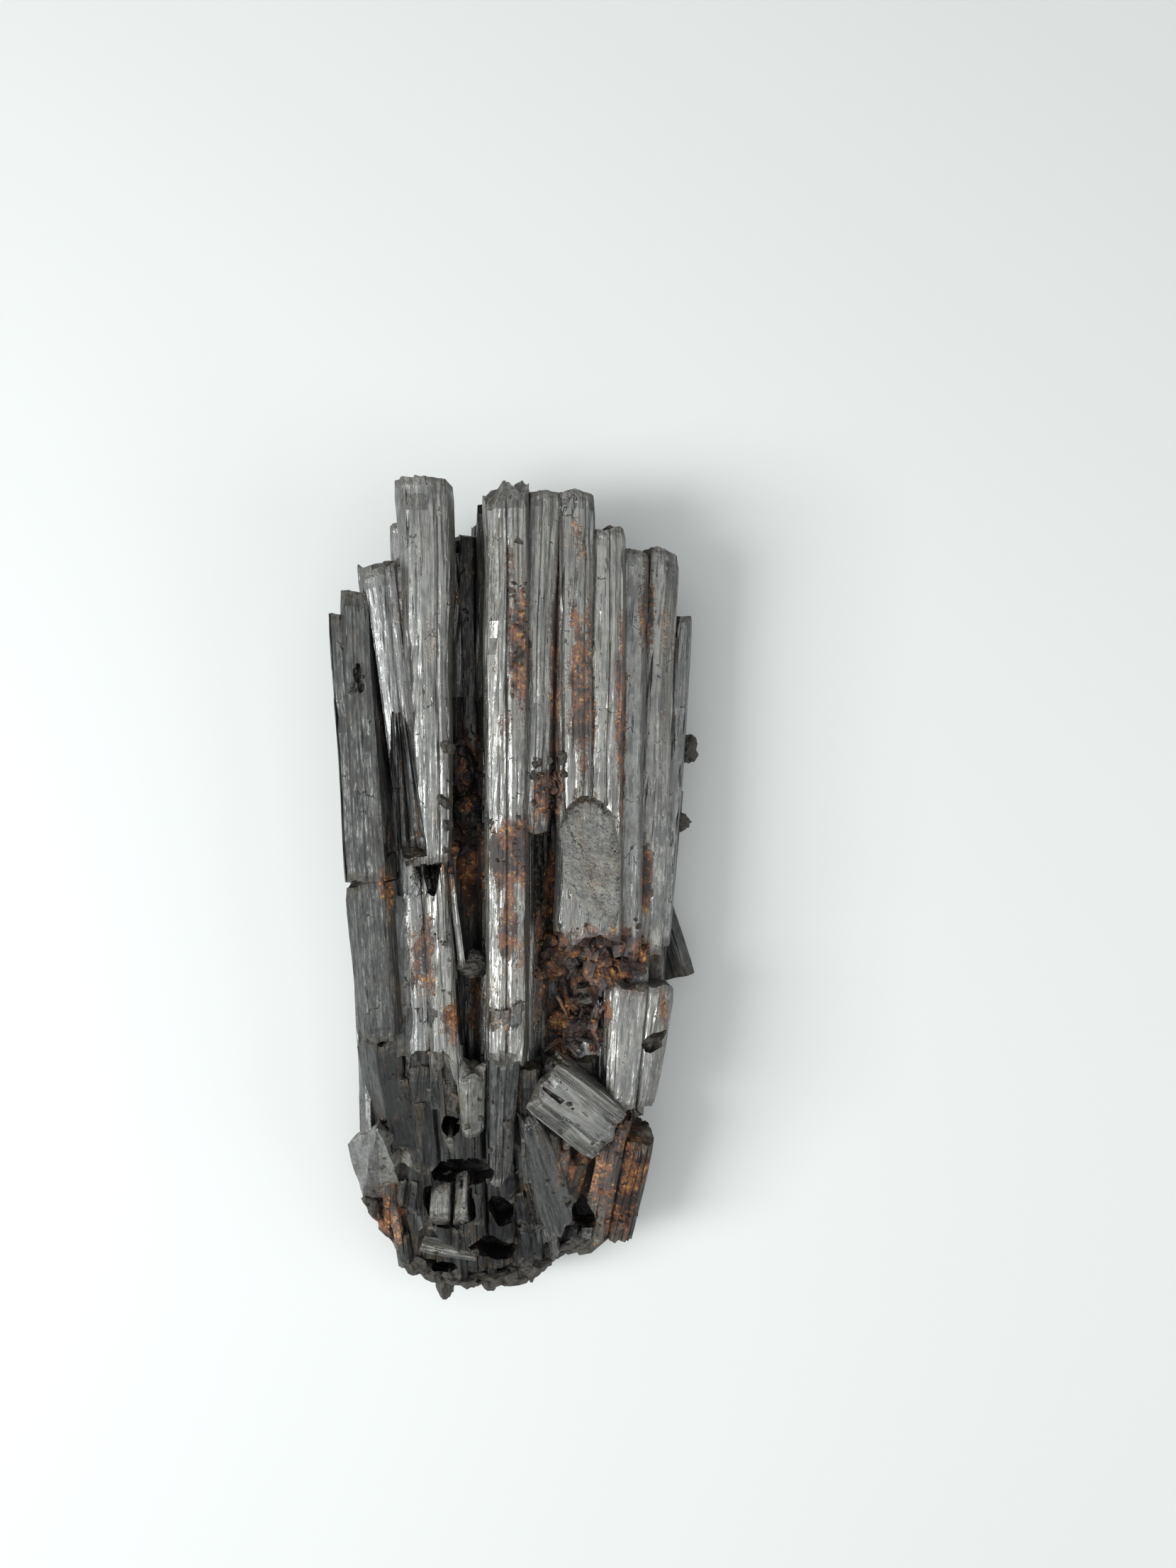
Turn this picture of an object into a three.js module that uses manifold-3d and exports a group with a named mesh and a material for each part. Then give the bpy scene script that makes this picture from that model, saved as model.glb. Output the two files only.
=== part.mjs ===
// A fan of black schorl prisms grown together into one piece, lying on its back.
// Millimetres. X runs across the fan, Y from the broken root to the fanned tips, Z up from the resting face.

import * as THREE from 'three';
import { mergeVertices } from 'three/addons/utils/BufferGeometryUtils.js';
import Module from 'manifold-3d';

const wasm = await Module();
wasm.setup();

// The middle of the piece lies on the origin.
const toMiddle = [-0.11, 0.96];

// A prism's outline has this many ridge and groove lines, and its corners are this square (2 is an ellipse).
const outlineLines = 16;
const squareness = 3.2;
const grooveDepth = 0.06;

// How far a broken tip's edge stands up or down, as a share of its width.
const tipRoughness = 0.28;

// The resting face is cut at Z = 0, by a block this large.
const cutSize = 80;

// Each crystal: axis from foot to tip, width across the fan and depth through it at foot and tip,
// and turn, in degrees, about its own axis.
const leftBundle = {
  leftEdge: { foot: [-7.2, 0.5, 6.9], tip: [-8.0, 12.4, 6.9],
    width: [1.3, 1.0], depth: [3.4, 3.0], turn: 6 },
  leftBroad: { foot: [-6.3, 0.5, 7.4], tip: [-7.1, 13.6, 7.3],
    width: [1.9, 1.5], depth: [3.2, 2.8], turn: 4 },
  leftWedge: { foot: [-4.5, 1.3, 7.3], tip: [-5.9, 14.5, 7.5],
    width: [1.2, 1.6], depth: [2.8, 2.6], turn: -8 },
  leftTall: { foot: [-3.7, 1.3, 7.6], tip: [-4.0, 18.6, 8.0],
    width: [1.6, 2.5], depth: [3.2, 3.0], turn: 0 },
  leftBack: { foot: [-5.8, 8.2, 4.9], tip: [-6.6, 15.4, 5.4],
    width: [1.6, 1.7], depth: [2.8, 2.4], turn: 20 },
  leftSliver: { foot: [-5.2, 9.0, 5.4], tip: [-5.5, 17.1, 5.8],
    width: [0.9, 0.9], depth: [2.4, 2.2], turn: 10 },
  lowLeft: { foot: [-5.9, -13.1, 6.3], tip: [-6.5, 0.2, 7.2],
    width: [2.3, 2.3], depth: [3.4, 3.2], turn: -4 },
  lowLeftInner: { foot: [-4.5, -7.5, 6.8], tip: [-4.6, 1.3, 7.1],
    width: [1.5, 1.4], depth: [2.6, 2.6], turn: 25 },
  lowColumn: { foot: [-3.2, -8.1, 7.1], tip: [-3.5, 1.6, 7.1],
    width: [1.8, 1.5], depth: [2.8, 2.8], turn: 0 },
};

const middleBundle = {
  grooveRod: { foot: [-2.1, 0.3, 4.6], tip: [-2.4, 17.0, 4.6],
    width: [1.1, 1.1], depth: [2.2, 2.2], turn: 0 },
  sideRod: { foot: [-1.2, 0.3, 5.2], tip: [-1.5, 18.3, 5.2],
    width: [0.8, 0.8], depth: [2.2, 2.2], turn: 0 },
  column: { foot: [-0.3, -8.4, 7.4], tip: [-0.2, 18.3, 7.6],
    width: [2.0, 1.8], depth: [3.2, 3.2], turn: 12 },
  columnEdge: { foot: [0.9, 2.4, 7.0], tip: [1.3, 18.3, 7.0],
    width: [1.3, 1.7], depth: [2.8, 2.8], turn: -6 },
  brownColumn: { foot: [2.5, -2.6, 6.8], tip: [2.75, 18.6, 6.8],
    width: [1.5, 1.6], depth: [2.8, 2.8], turn: 15 },
};

const rightBundle = {
  rightInner: { foot: [4.1, 1.7, 6.5], tip: [4.3, 16.5, 6.4],
    width: [1.5, 1.5], depth: [2.6, 2.6], turn: 10 },
  rightPlate: { foot: [3.3, -2.4, 7.0], tip: [3.5, 4.1, 7.0],
    width: [2.8, 2.2], depth: [2.8, 2.2], turn: 4 },
  rightOne: { foot: [4.9, -3.2, 5.7], tip: [5.5, 15.8, 5.4],
    width: [1.3, 1.1], depth: [2.8, 2.6], turn: 12 },
  rightTwo: { foot: [5.9, -3.3, 4.7], tip: [6.7, 16.0, 4.4],
    width: [1.4, 1.5], depth: [3.0, 2.8], turn: 20 },
  rightEdge: { foot: [6.7, -2.9, 3.6], tip: [7.9, 13.1, 3.0],
    width: [1.2, 1.2], depth: [2.8, 2.6], turn: 25 },
};

// Short crystals that lie across or beside the fan near the root.
const shortCrystals = {
  splinter: { foot: [-1.7, -11.4, 6.4], tip: [-1.8, -7.8, 7.2],
    width: [1.1, 1.3], depth: [2.0, 1.6], turn: 30 },
  stub: { foot: [5.3, -10.4, 5.4], tip: [5.9, -4.5, 5.6],
    width: [2.2, 2.9], depth: [3.0, 2.6], turn: 10 },
  crossBlock: { foot: [0.9, -9.0, 6.2], tip: [4.4, -11.4, 6.2],
    width: [2.6, 2.6], depth: [2.6, 2.6], turn: 0 },
  slanted: { foot: [2.0, -17.1, 3.6], tip: [0.7, -10.4, 6.6],
    width: [2.4, 1.5], depth: [2.2, 2.0], turn: 15 },
  lowRight: { foot: [4.8, -17.5, 2.6], tip: [5.3, -11.5, 4.2],
    width: [1.9, 1.9], depth: [3.4, 3.0], turn: 20 },
  hexagon: { foot: [6.4, -0.4, 2.2], tip: [7.8, -5.0, 2.0],
    width: [1.6, 1.6], depth: [1.7, 1.7], turn: 30 },
};

const rootCrystals = {
  rootLeft: { foot: [-5.4, -18.9, 2.4], tip: [-5.5, -6.6, 5.6],
    width: [2.2, 3.0], depth: [3.4, 4.0], turn: 10 },
  rootMiddle: { foot: [-3.3, -19.9, 2.4], tip: [-3.0, -7.4, 5.6],
    width: [4.0, 3.6], depth: [3.4, 4.6], turn: 0 },
  rootRight: { foot: [-0.1, -19.2, 2.2], tip: [-0.3, -7.0, 5.4],
    width: [3.6, 3.6], depth: [3.4, 4.6], turn: -6 },
  rootCorner: { foot: [2.8, -17.9, 2.0], tip: [2.6, -7.4, 4.4],
    width: [2.6, 3.2], depth: [3.0, 3.8], turn: 8 },
};

// Crystals in the depth of the fan, which close the grooves and join front to back.
const innerCrystals = {
  innerLeft: { foot: [-5.4, -13.2, 3.9], tip: [-5.8, 13.0, 4.3],
    width: [3.6, 4.4], depth: [4.8, 4.8], turn: 0 },
  grooveFloor: { foot: [-2.3, -12.8, 3.1], tip: [-2.4, 15.6, 3.1],
    width: [3.0, 3.0], depth: [4.2, 4.2], turn: 0 },
  innerMiddle: { foot: [-0.4, -11.6, 4.0], tip: [0.0, 15.6, 4.2],
    width: [3.0, 3.0], depth: [5.0, 5.0], turn: 0 },
  secondFloor: { foot: [1.6, -9.6, 3.4], tip: [1.7, 15.2, 3.6],
    width: [2.6, 2.6], depth: [4.4, 4.2], turn: 0 },
  innerRight: { foot: [4.2, -11.0, 3.1], tip: [4.6, 14.2, 3.5],
    width: [3.8, 4.2], depth: [4.8, 4.6], turn: 0 },
  rootHeart: { foot: [-0.6, -16.6, 2.2], tip: [-0.6, -6.4, 2.6],
    width: [9.0, 10.0], depth: [2.6, 3.4], turn: 0 },
};

const backCrystals = {
  backOne: { foot: [-6.2, -16.5, 1.5], tip: [-7.3, 12.3, 1.5],
    width: [2.8, 2.8], depth: [3.3, 3.2], turn: 8 },
  backTwo: { foot: [-4.1, -18.9, 1.3], tip: [-4.8, 16.4, 1.35],
    width: [3.0, 3.0], depth: [3.0, 3.0], turn: -6 },
  backThree: { foot: [-1.2, -18.0, 1.3], tip: [-0.8, 17.8, 1.4],
    width: [3.4, 2.9], depth: [3.0, 3.0], turn: 5 },
  backFour: { foot: [1.7, -17.6, 1.3], tip: [2.4, 17.2, 1.3],
    width: [3.0, 3.0], depth: [3.0, 2.8], turn: -8 },
  backFive: { foot: [4.2, -12.5, 1.2], tip: [5.5, 13.9, 1.2],
    width: [2.8, 3.0], depth: [2.8, 2.6], turn: 6 },
};

// Nodules and crumbs that stand on the fan: middle, half sizes.
const lumps = {
  grooveNodule: { at: [-2.5, 5.2, 5.8], half: [0.7, 1.5, 1.1] },
  bridge: { at: [1.4, 4.8, 7.2], half: [0.8, 0.9, 1.1] },
  roundNub: { at: [-1.9, -3.6, 6.6], half: [0.6, 0.5, 0.8] },
  rustRidgeOne: { at: [2.2, -3.6, 4.8], half: [1.4, 1.4, 2.0] },
  rustRidgeTwo: { at: [4.1, -3.4, 4.4], half: [1.6, 1.5, 2.2] },
  rustRidgeThree: { at: [5.5, -3.0, 4.2], half: [1.4, 1.4, 1.9] },
  crumb: { at: [2.8, -6.8, 4.2], half: [1.9, 1.6, 2.0] },
  rustCap: { at: [4.5, 16.6, 5.4], half: [0.5, 0.6, 0.9] },
  bumpHigh: { at: [8.3, 6.6, 3.0], half: [0.6, 0.7, 0.7] },
  bumpLow: { at: [7.7, 3.0, 3.0], half: [0.8, 0.6, 0.7] },
  sideFill: { at: [6.2, -2.6, 2.8], half: [1.8, 2.4, 2.2] },
  pyramid: { at: [-6.4, -13.2, 6.0], half: [1.3, 1.6, 2.4] },
  rootNub: { at: [-3.6, -19.6, 1.9], half: [0.5, 1.6, 1.0] },
};

// Pits and hollows: middle, half sizes.
const pits = {
  edgePit: { at: [-7.0, 9.7, 9.0], half: [0.35, 0.4, 0.6] },
  archHollow: { at: [3.6, 4.3, 8.4], half: [1.2, 0.45, 1.2] },
  roundPit: { at: [-5.7, -8.0, 8.8], half: [0.45, 0.3, 0.9] },
  blackHole: { at: [5.5, -10.8, 7.4], half: [0.5, 0.5, 1.6] },
  stubPit: { at: [5.6, -6.9, 7.4], half: [0.5, 0.4, 0.7] },
  hollow: { at: [3.2, -16.2, 4.6], half: [0.6, 1.1, 1.6] },
  cavityOne: { at: [-2.9, -10.9, 8.0], half: [0.5, 0.35, 1.4] },
  cavityTwo: { at: [-2.4, -13.6, 6.6], half: [1.1, 0.7, 1.6] },
  cavityThree: { at: [-1.2, -17.4, 4.8], half: [1.1, 0.7, 1.6] },
  cavityFour: { at: [-3.8, -19.3, 4.0], half: [0.7, 0.4, 1.4] },
  redRecess: { at: [-7.4, -15.7, 5.2], half: [0.9, 0.7, 1.4] },
  shadowGroove: { at: [-2.1, -5.6, 7.6], half: [0.5, 1.2, 1.4] },
  endPit: { at: [8.0, -5.0, 2.2], half: [0.3, 0.4, 0.3] },
};

// Thin breaks across the fan: middle, full sizes, turn in degrees about Z.
const breaks = {
  crackEnd: { at: [-7.6, 0.5, 8.4], size: [1.8, 0.22, 1.2], turn: 12 },
  ledge: { at: [-0.1, 16.6, 9.2], size: [1.4, 0.4, 0.8], turn: 0 },
};

// Repeatable numbers from 0 to 1, which start from a piece's name.
function numbersFor(name) {
  let state = [...name].reduce((sum, letter) => sum * 31 + letter.charCodeAt(0), 7) % 4294967296;
  return () => {
    state = (state * 1664525 + 1013904223) % 4294967296;
    return state / 4294967296;
  };
}

function solidOf(geometry) {
  geometry.deleteAttribute('normal');
  geometry.deleteAttribute('uv');
  const merged = mergeVertices(geometry, 1e-5);
  const vertProperties = new Float32Array(merged.attributes.position.array);
  const triVerts = new Uint32Array(merged.index.array);
  return new wasm.Manifold(new wasm.Mesh({ numProp: 3, vertProperties, triVerts }));
}

// The outline of a prism of width 1 and depth 1, with a groove between each two ridges.
function outline(turn, random) {
  const points = [];
  for (let line = 0; line < outlineLines; line += 1) {
    const angle = (line / outlineLines) * 2 * Math.PI;
    const across = Math.cos(angle);
    const through = Math.sin(angle);
    const radius = (Math.abs(across) ** squareness + Math.abs(through) ** squareness) ** (-1 / squareness);
    const groove = line % 2 === 0 ? 1 : 1 - grooveDepth - 0.05 * random();
    const point = new THREE.Vector2(across, through).multiplyScalar(0.5 * radius * groove);
    points.push(point.rotateAround(new THREE.Vector2(), THREE.MathUtils.degToRad(turn)));
  }
  return new THREE.Shape(points);
}

// One prism: its outline extruded from foot to tip, tapered, with both ends broken rough.
function crystal(name, { foot, tip, width, depth, turn }) {
  const random = numbersFor(name);
  const start = new THREE.Vector3(...foot);
  const along = new THREE.Vector3(...tip).sub(start);
  const length = along.length();
  const geometry = new THREE.ExtrudeGeometry(outline(turn, random), { depth: length, bevelEnabled: false });
  const merged = mergeVertices(geometry.deleteAttribute('normal').deleteAttribute('uv'), 1e-5);
  const position = merged.attributes.position;
  const lean = [random() - 0.5, random() - 0.5];
  for (let i = 0; i < position.count; i += 1) {
    const share = position.getZ(i) / length;
    const across = position.getX(i) * THREE.MathUtils.lerp(...width, share);
    const through = position.getY(i) * THREE.MathUtils.lerp(...depth, share);
    const end = share > 0.5 ? 1 : -1;
    const broken = lean[0] * across + lean[1] * through + tipRoughness * width[0] * (random() - 0.8);
    position.setXYZ(i, across, through, position.getZ(i) + end * broken);
  }
  const zAxis = along.normalize();
  const xAxis = new THREE.Vector3(0, 0, 1).cross(zAxis).normalize();
  const yAxis = new THREE.Vector3().crossVectors(zAxis, xAxis);
  merged.applyMatrix4(new THREE.Matrix4().makeBasis(xAxis, yAxis, zAxis).setPosition(start));
  return solidOf(merged);
}

// A nodule or a pit: a ball with uneven facets.
function lump(name, { at, half }) {
  const random = numbersFor(name);
  const ball = new THREE.IcosahedronGeometry(1, 1).deleteAttribute('normal').deleteAttribute('uv');
  const merged = mergeVertices(ball, 1e-5);
  const position = merged.attributes.position;
  for (let i = 0; i < position.count; i += 1) {
    const swell = 0.82 + 0.3 * random();
    position.setXYZ(i, position.getX(i) * swell, position.getY(i) * swell, position.getZ(i) * swell);
  }
  merged.scale(...half).translate(...at);
  return solidOf(merged);
}

function breakAcross(name, { at, size, turn }) {
  const box = new THREE.BoxGeometry(...size).rotateZ(THREE.MathUtils.degToRad(turn));
  return solidOf(box.translate(...at));
}

function addAll(solid, pieces, make) {
  return Object.entries(pieces).reduce((sum, [name, piece]) => sum.add(make(name, piece)), solid);
}

function cutAll(solid, pieces, make) {
  return Object.entries(pieces).reduce((rest, [name, piece]) => rest.subtract(make(name, piece)), solid);
}

function schorl() {
  let solid = crystal('innerMiddle', innerCrystals.innerMiddle);
  for (const bundle of [innerCrystals, backCrystals, leftBundle, middleBundle, rightBundle, rootCrystals]) {
    solid = addAll(solid, bundle, crystal);
  }
  solid = cutAll(solid, breaks, breakAcross);
  solid = addAll(solid, shortCrystals, crystal);
  solid = addAll(solid, lumps, lump);
  solid = cutAll(solid, pits, lump);
  const below = new THREE.BoxGeometry(cutSize, cutSize, cutSize).translate(0, 0, -cutSize / 2);
  return solid.subtract(solidOf(below));
}

function geometryOf(solid) {
  const mesh = solid.getMesh();
  const geometry = new THREE.BufferGeometry();
  geometry.setAttribute('position', new THREE.BufferAttribute(mesh.vertProperties, 3));
  geometry.setIndex(new THREE.BufferAttribute(mesh.triVerts, 1));
  return geometry.translate(...toMiddle, 0);
}

const blackSchorl = new THREE.MeshStandardMaterial({ color: 0x2b2d30, roughness: 0.38, metalness: 0 });
const crystalMesh = new THREE.Mesh(geometryOf(schorl()), blackSchorl);
crystalMesh.name = 'schorl_crystal';

const object = new THREE.Group();
object.add(crystalMesh);

export default object;
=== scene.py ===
import math
import bpy
import bmesh
import numpy as np
from mathutils import Matrix, Vector
from mathutils.bvhtree import BVHTree


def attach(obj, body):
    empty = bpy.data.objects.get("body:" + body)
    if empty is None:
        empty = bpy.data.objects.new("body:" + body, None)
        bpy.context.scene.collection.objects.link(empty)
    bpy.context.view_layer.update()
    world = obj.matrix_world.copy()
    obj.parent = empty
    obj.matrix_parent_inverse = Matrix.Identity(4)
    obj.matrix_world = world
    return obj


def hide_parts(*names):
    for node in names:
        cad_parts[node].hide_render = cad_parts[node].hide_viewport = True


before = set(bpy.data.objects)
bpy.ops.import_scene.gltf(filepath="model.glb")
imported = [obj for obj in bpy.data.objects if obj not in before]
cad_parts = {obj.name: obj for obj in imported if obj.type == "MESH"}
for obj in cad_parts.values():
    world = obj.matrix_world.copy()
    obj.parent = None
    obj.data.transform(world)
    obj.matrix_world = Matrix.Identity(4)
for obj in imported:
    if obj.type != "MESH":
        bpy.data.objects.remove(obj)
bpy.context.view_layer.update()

mm = 0.001
scene = bpy.context.scene

# Shared shape of every prism. Lengths are in millimetres.
prismStyle = {
    "square": 4.2,       # 2 is an oval, higher is boxier
    "ribSpacing": 0.12,  # distance between the points round a prism
    "ringSpacing": 0.8,  # distance between the rings along it
    "facet": 1.05,       # mean width of one flat face
    "facetStep": 0.06,   # how far a face may lie below its neighbour
    "line": 0.018,       # fine lines along a face
    "groove": 0.16,      # a few deeper grooves
    "ragged": 0.14,      # how ragged a broken end is, as a share of the width
    "capRings": 3,       # rings of points across a broken end
    "dome": 0.0,         # how far the middle of the tip stands out
    "lean": (0.0, 0.0),  # slope of the tip, across and through
    "bend": 0.07,        # how far the axis wanders
    "cap": 1.0,          # 1 gives the ends the look of a fracture, 0 that of a face
    "swell": 1.16,       # makes up for the flat faces, so that neighbours meet
}

# What time did to every prism.
prismWear = {
    "stepKept": 0.9,            # how much of a face's step stays past the place where it changes
    "stepJag": 0.5,             # how uneven that place is
    "groove": (0.16, 0.02),     # where a groove starts and is deepest, from a corner
    "corner": 0.16,             # how far from a corner its wear starts
    "cornerLeast": 0.02,
    "cornerMost": 0.1,
    "unevenness": 0.03,
    "chipDepth": 0.1,
    "chips": (0.62, 0.8),       # higher values leave fewer chips
    "brink": (0.93, 0.97),      # how far the edge of a broken end draws in
    "endSlope": 0.18,
    "endReach": (0.45, 1.4),    # how far the raggedness of an end goes back, as a share and in millimetres
}

toMiddle = (-0.11, 0.96)  # puts the middle of the specimen on the origin

# Each crystal: axis from foot to tip, width and depth at both ends, turn in degrees, and its own style.
leftBundle = {
    "leftEdge": ((-7.2, 0.42, 6.9), (-8.0, 12.5, 6.9), (1.3, 1.1), (3.4, 3.0), 6,
     {"lean": (0.35, 0), "ragged": 0.08, "tone": 0.15}),
    "leftBroad": ((-6.25, 0.42, 7.4), (-7.1, 13.7, 7.3), (2.0, 1.7), (3.2, 2.8), 2,
     {"ragged": 0.05, "lean": (0.3, 0), "facet": 1.7, "tone": 0.19}),
    "leftWedge": ((-4.6, 1.3, 7.3), (-5.9, 14.5, 7.5), (1.2, 1.9), (2.8, 2.6), 10,
     {"groove": 0.12, "tone": 0.35, "square": 6,
      "corners": [0.04, 0.12, 0.19, 0.26, 0.32, 0.38, 0.47, 0.6, 0.75, 0.9]}),
    "leftTall": ((-3.8, 1.3, 7.6), (-4.05, 18.7, 8.0), (1.6, 2.4), (3.2, 3.0), 8,
     {"tone": 0.8, "corners": [0.03, 0.15, 0.195, 0.3, 0.36, 0.45, 0.55, 0.7, 0.85]}),
    "leftBack": ((-5.8, 8.2, 4.9), (-6.6, 15.4, 5.4), (1.6, 1.7), (2.8, 2.4), 20),
    "leftSliver": ((-5.2, 9.0, 5.4), (-5.5, 17.1, 5.8), (0.9, 0.9), (2.4, 2.2), 10),
    "lowLeft": ((-5.9, -6.9, 6.65), (-6.55, 0.5, 7.25), (2.3, 2.45), (3.4, 3.2), -3,
     {"ragged": 0.16, "tone": 0.12, "facet": 1.6}),
    "lowLeftDark": ((-5.4, -12.6, 5.1), (-6.1, -6.5, 6.5), (2.4, 2.3), (3.3, 3.2), 20,
     {"facet": 1.8, "line": 0.008, "tone": -0.45, "ragged": 0.3}),
    "lowLeftInner": ((-4.4, -8.6, 6.4), (-4.75, 1.2, 7.2), (1.6, 1.4), (2.9, 2.6), 25,
     {"tone": 0.5, "line": 0.035, "ragged": 0.8, "cap": 0.3}),
    "lowColumn": ((-3.15, -8.7, 6.85), (-3.7, 1.2, 7.2), (1.5, 1.2), (2.8, 2.8), 8,
     {"line": 0.035, "facet": 0.5, "tone": 0.95, "ragged": 0.9, "cap": 0.3}),
    "darkColumn": ((-2.9, -13.2, 5.1), (-3.3, -5.0, 7.2), (1.3, 1.5), (2.9, 2.6), 8,
     {"line": 0.035, "facet": 0.4, "tone": 0.1}),
    "darkInner": ((-4.2, -13.2, 5.0), (-4.5, -5.0, 6.9), (1.5, 1.5), (2.9, 2.6), 0,
     {"line": 0.03, "facet": 0.4, "tone": -0.2}),
    "needleOne": ((-2.55, -3.6, 7.7), (-3.05, 1.0, 7.8), (0.35, 0.2), (1.2, 1.0), 30, {"tone": 1.4}),
    "needleTwo": ((-2.75, -1.6, 7.3), (-2.75, 1.9, 7.2), (0.22, 0.16), (1.0, 0.8), 12, {"tone": 1.2}),
}

middleBundle = {
    # The rods in the groove are dark: painted shade in the groove.
    "grooveRod": ((-2.1, 0.3, 4.3), (-2.4, 17.0, 4.3), (0.8, 0.9), (2.2, 2.2), 0, {"tone": -0.7}),
    "sideRod": ((-1.3, 0.3, 4.8), (-1.6, 18.2, 4.8), (0.45, 0.5), (2.2, 2.2), 0, {"tone": -0.7}),
    "column": ((-0.3, -8.4, 7.1), (-0.25, 18.4, 7.65), (1.7, 1.95), (3.2, 3.2), 0,
     {"line": 0.03, "tone": 0.97, "ragged": 0.5, "cap": 0.3,
      "corners": [0.03, 0.11, 0.2, 0.262, 0.375, 0.46, 0.56, 0.68, 0.8, 0.92]}),
    "columnLow": ((-0.75, -13.6, 5.2), (-0.3, -5.0, 7.65), (1.2, 1.7), (3.0, 2.7), 0,
     {"tone": 0.25, "ragged": 0.5, "line": 0.035, "facet": 0.5}),
    "columnEdge": ((0.95, 2.6, 7.0), (1.35, 18.3, 7.0), (1.2, 1.7), (2.8, 2.8), -6, {"tone": 0.9}),
    "brownColumn": ((2.8, 2.0, 6.8), (2.8, 18.2, 6.8), (1.6, 1.8), (2.8, 2.8), 4,
     {"tone": 0.7, "corners": [0.04, 0.15, 0.24, 0.31, 0.38, 0.5, 0.62, 0.72, 0.83, 0.95]}),
}

rightBundle = {
    "rightInner": ((4.2, 1.7, 6.6), (4.3, 16.5, 6.5), (1.6, 1.6), (2.8, 2.8), 0,
     {"tone": 0.95, "corners": [0.02, 0.12, 0.19, 0.28, 0.37, 0.48, 0.6, 0.7, 0.8, 0.9]}),
    "rightPlate": ((3.4, -2.4, 6.7), (3.55, 4.6, 6.9), (2.9, 2.6), (2.8, 2.2), 2,
     {"dome": 0.9, "tone": 0.7, "square": 6, "corners": [0.03, 0.13, 0.37, 0.47, 0.6, 0.75, 0.9]}),
    "rightOne": ((5.1, -3.2, 5.8), (5.55, 15.8, 5.5), (1.3, 1.2), (2.8, 2.6), 12, {"tone": 0.6}),
    "rightTwo": ((6.0, -3.3, 4.8), (6.75, 16.0, 4.6), (1.5, 1.6), (3.0, 2.8), 20, {"tone": 0.85}),
    "rightEdge": ((6.8, -2.9, 3.8), (7.9, 13.1, 3.3), (1.3, 1.3), (2.8, 2.6), 25, {"tone": 0.5}),
}

shortCrystals = {
    "splinter": ((-1.75, -11.6, 6.6), (-1.85, -7.9, 7.7), (0.8, 1.25), (2.2, 1.6), -22,
     {"ragged": 0.8, "line": 0.03, "tone": 1.6, "facet": 0.8}),
    "stub": ((5.3, -10.4, 5.5), (5.9, -4.5, 5.7), (2.2, 2.9), (3.0, 2.6), 10,
     {"facet": 0.8, "tone": 0.95, "line": 0.03}),
    "crossBlock": ((1.1, -8.9, 6.3), (4.6, -11.6, 6.3), (2.6, 2.7), (2.8, 2.8), 4,
     {"facet": 1.0, "ragged": 0.12, "tone": 0.75, "line": 0.03}),
    "slanted": ((2.2, -17.0, 3.6), (0.35, -9.9, 6.7), (2.3, 0.8), (2.4, 2.0), 15,
     {"tone": 0.45, "ragged": 0.4, "line": 0.03}),
    "slantedSmall": ((1.0, -16.8, 3.9), (0.2, -12.8, 5.6), (0.8, 0.7), (1.6, 1.4), 20),
    "lowRight": ((4.6, -17.1, 2.9), (5.8, -11.7, 4.6), (1.3, 1.3), (3.0, 2.6), 20,
     {"ragged": 0.35, "facet": 0.4, "line": 0.05, "tone": 0.1}),
    "lowRightTwo": ((3.9, -17.3, 2.9), (4.9, -11.0, 4.7), (1.3, 1.2), (3.0, 2.8), -10,
     {"ragged": 0.35, "facet": 0.4, "line": 0.05, "tone": 0.3}),
    "lowRightThree": ((3.2, -16.9, 2.6), (4.1, -11.6, 4.2), (0.7, 0.9), (2.6, 2.4), 25,
     {"ragged": 0.6, "tone": -0.6}),
    "hexagon": ((6.5, -0.2, 2.4), (7.9, -4.75, 2.1), (2.0, 2.0), (2.0, 2.0), 30,
     {"ragged": 0.03, "facet": 1.0, "tone": 0.1}),
}

rootStyle = {"facet": 0.5}

# The low tones darken the broken foot: partly the stone's own black, partly painted shade.
rootCrystals = {
    "rootOne": ((-5.9, -16.6, 2.6), (-5.6, -7.6, 5.5), (1.7, 1.6), (3.2, 4.0), 10, {"tone": -0.35}),
    "rootTwo": ((-4.7, -18.0, 2.4), (-4.3, -7.6, 5.9), (1.6, 1.5), (3.2, 4.0), 0, {"tone": 0.1}),
    "rootThree": ((-3.3, -18.6, 2.5), (-3.1, -8.0, 6.0), (1.7, 1.3), (3.2, 3.8), 12, {"tone": -0.35}),
    "rootFour": ((-2.0, -18.6, 2.7), (-1.9, -9.0, 5.8), (1.4, 1.3), (3.2, 3.8), -6, {"tone": 0.15}),
    "rootFive": ((-0.8, -18.5, 2.5), (-0.8, -8.0, 5.9), (1.4, 1.4), (3.2, 4.0), 0, {"tone": -0.2, "facet": 0.4}),
    "rootSix": ((0.5, -18.2, 2.4), (0.3, -8.0, 5.6), (1.5, 1.5), (3.2, 4.0), 8, {"tone": -0.4}),
    "rootSeven": ((1.9, -17.6, 2.2), (1.6, -8.0, 5.0), (1.6, 1.6), (3.0, 3.8), -8, {"tone": -0.35}),
    "rootEight": ((3.1, -16.9, 2.0), (3.0, -8.0, 4.3), (1.6, 1.8), (2.9, 3.8), 8, {"tone": -0.4}),
    "windowBar": ((-4.6, -17.3, 4.6), (-1.9, -18.0, 4.3), (0.8, 0.6), (0.9, 0.9), 10, {"facet": 1.05}),
}

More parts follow.
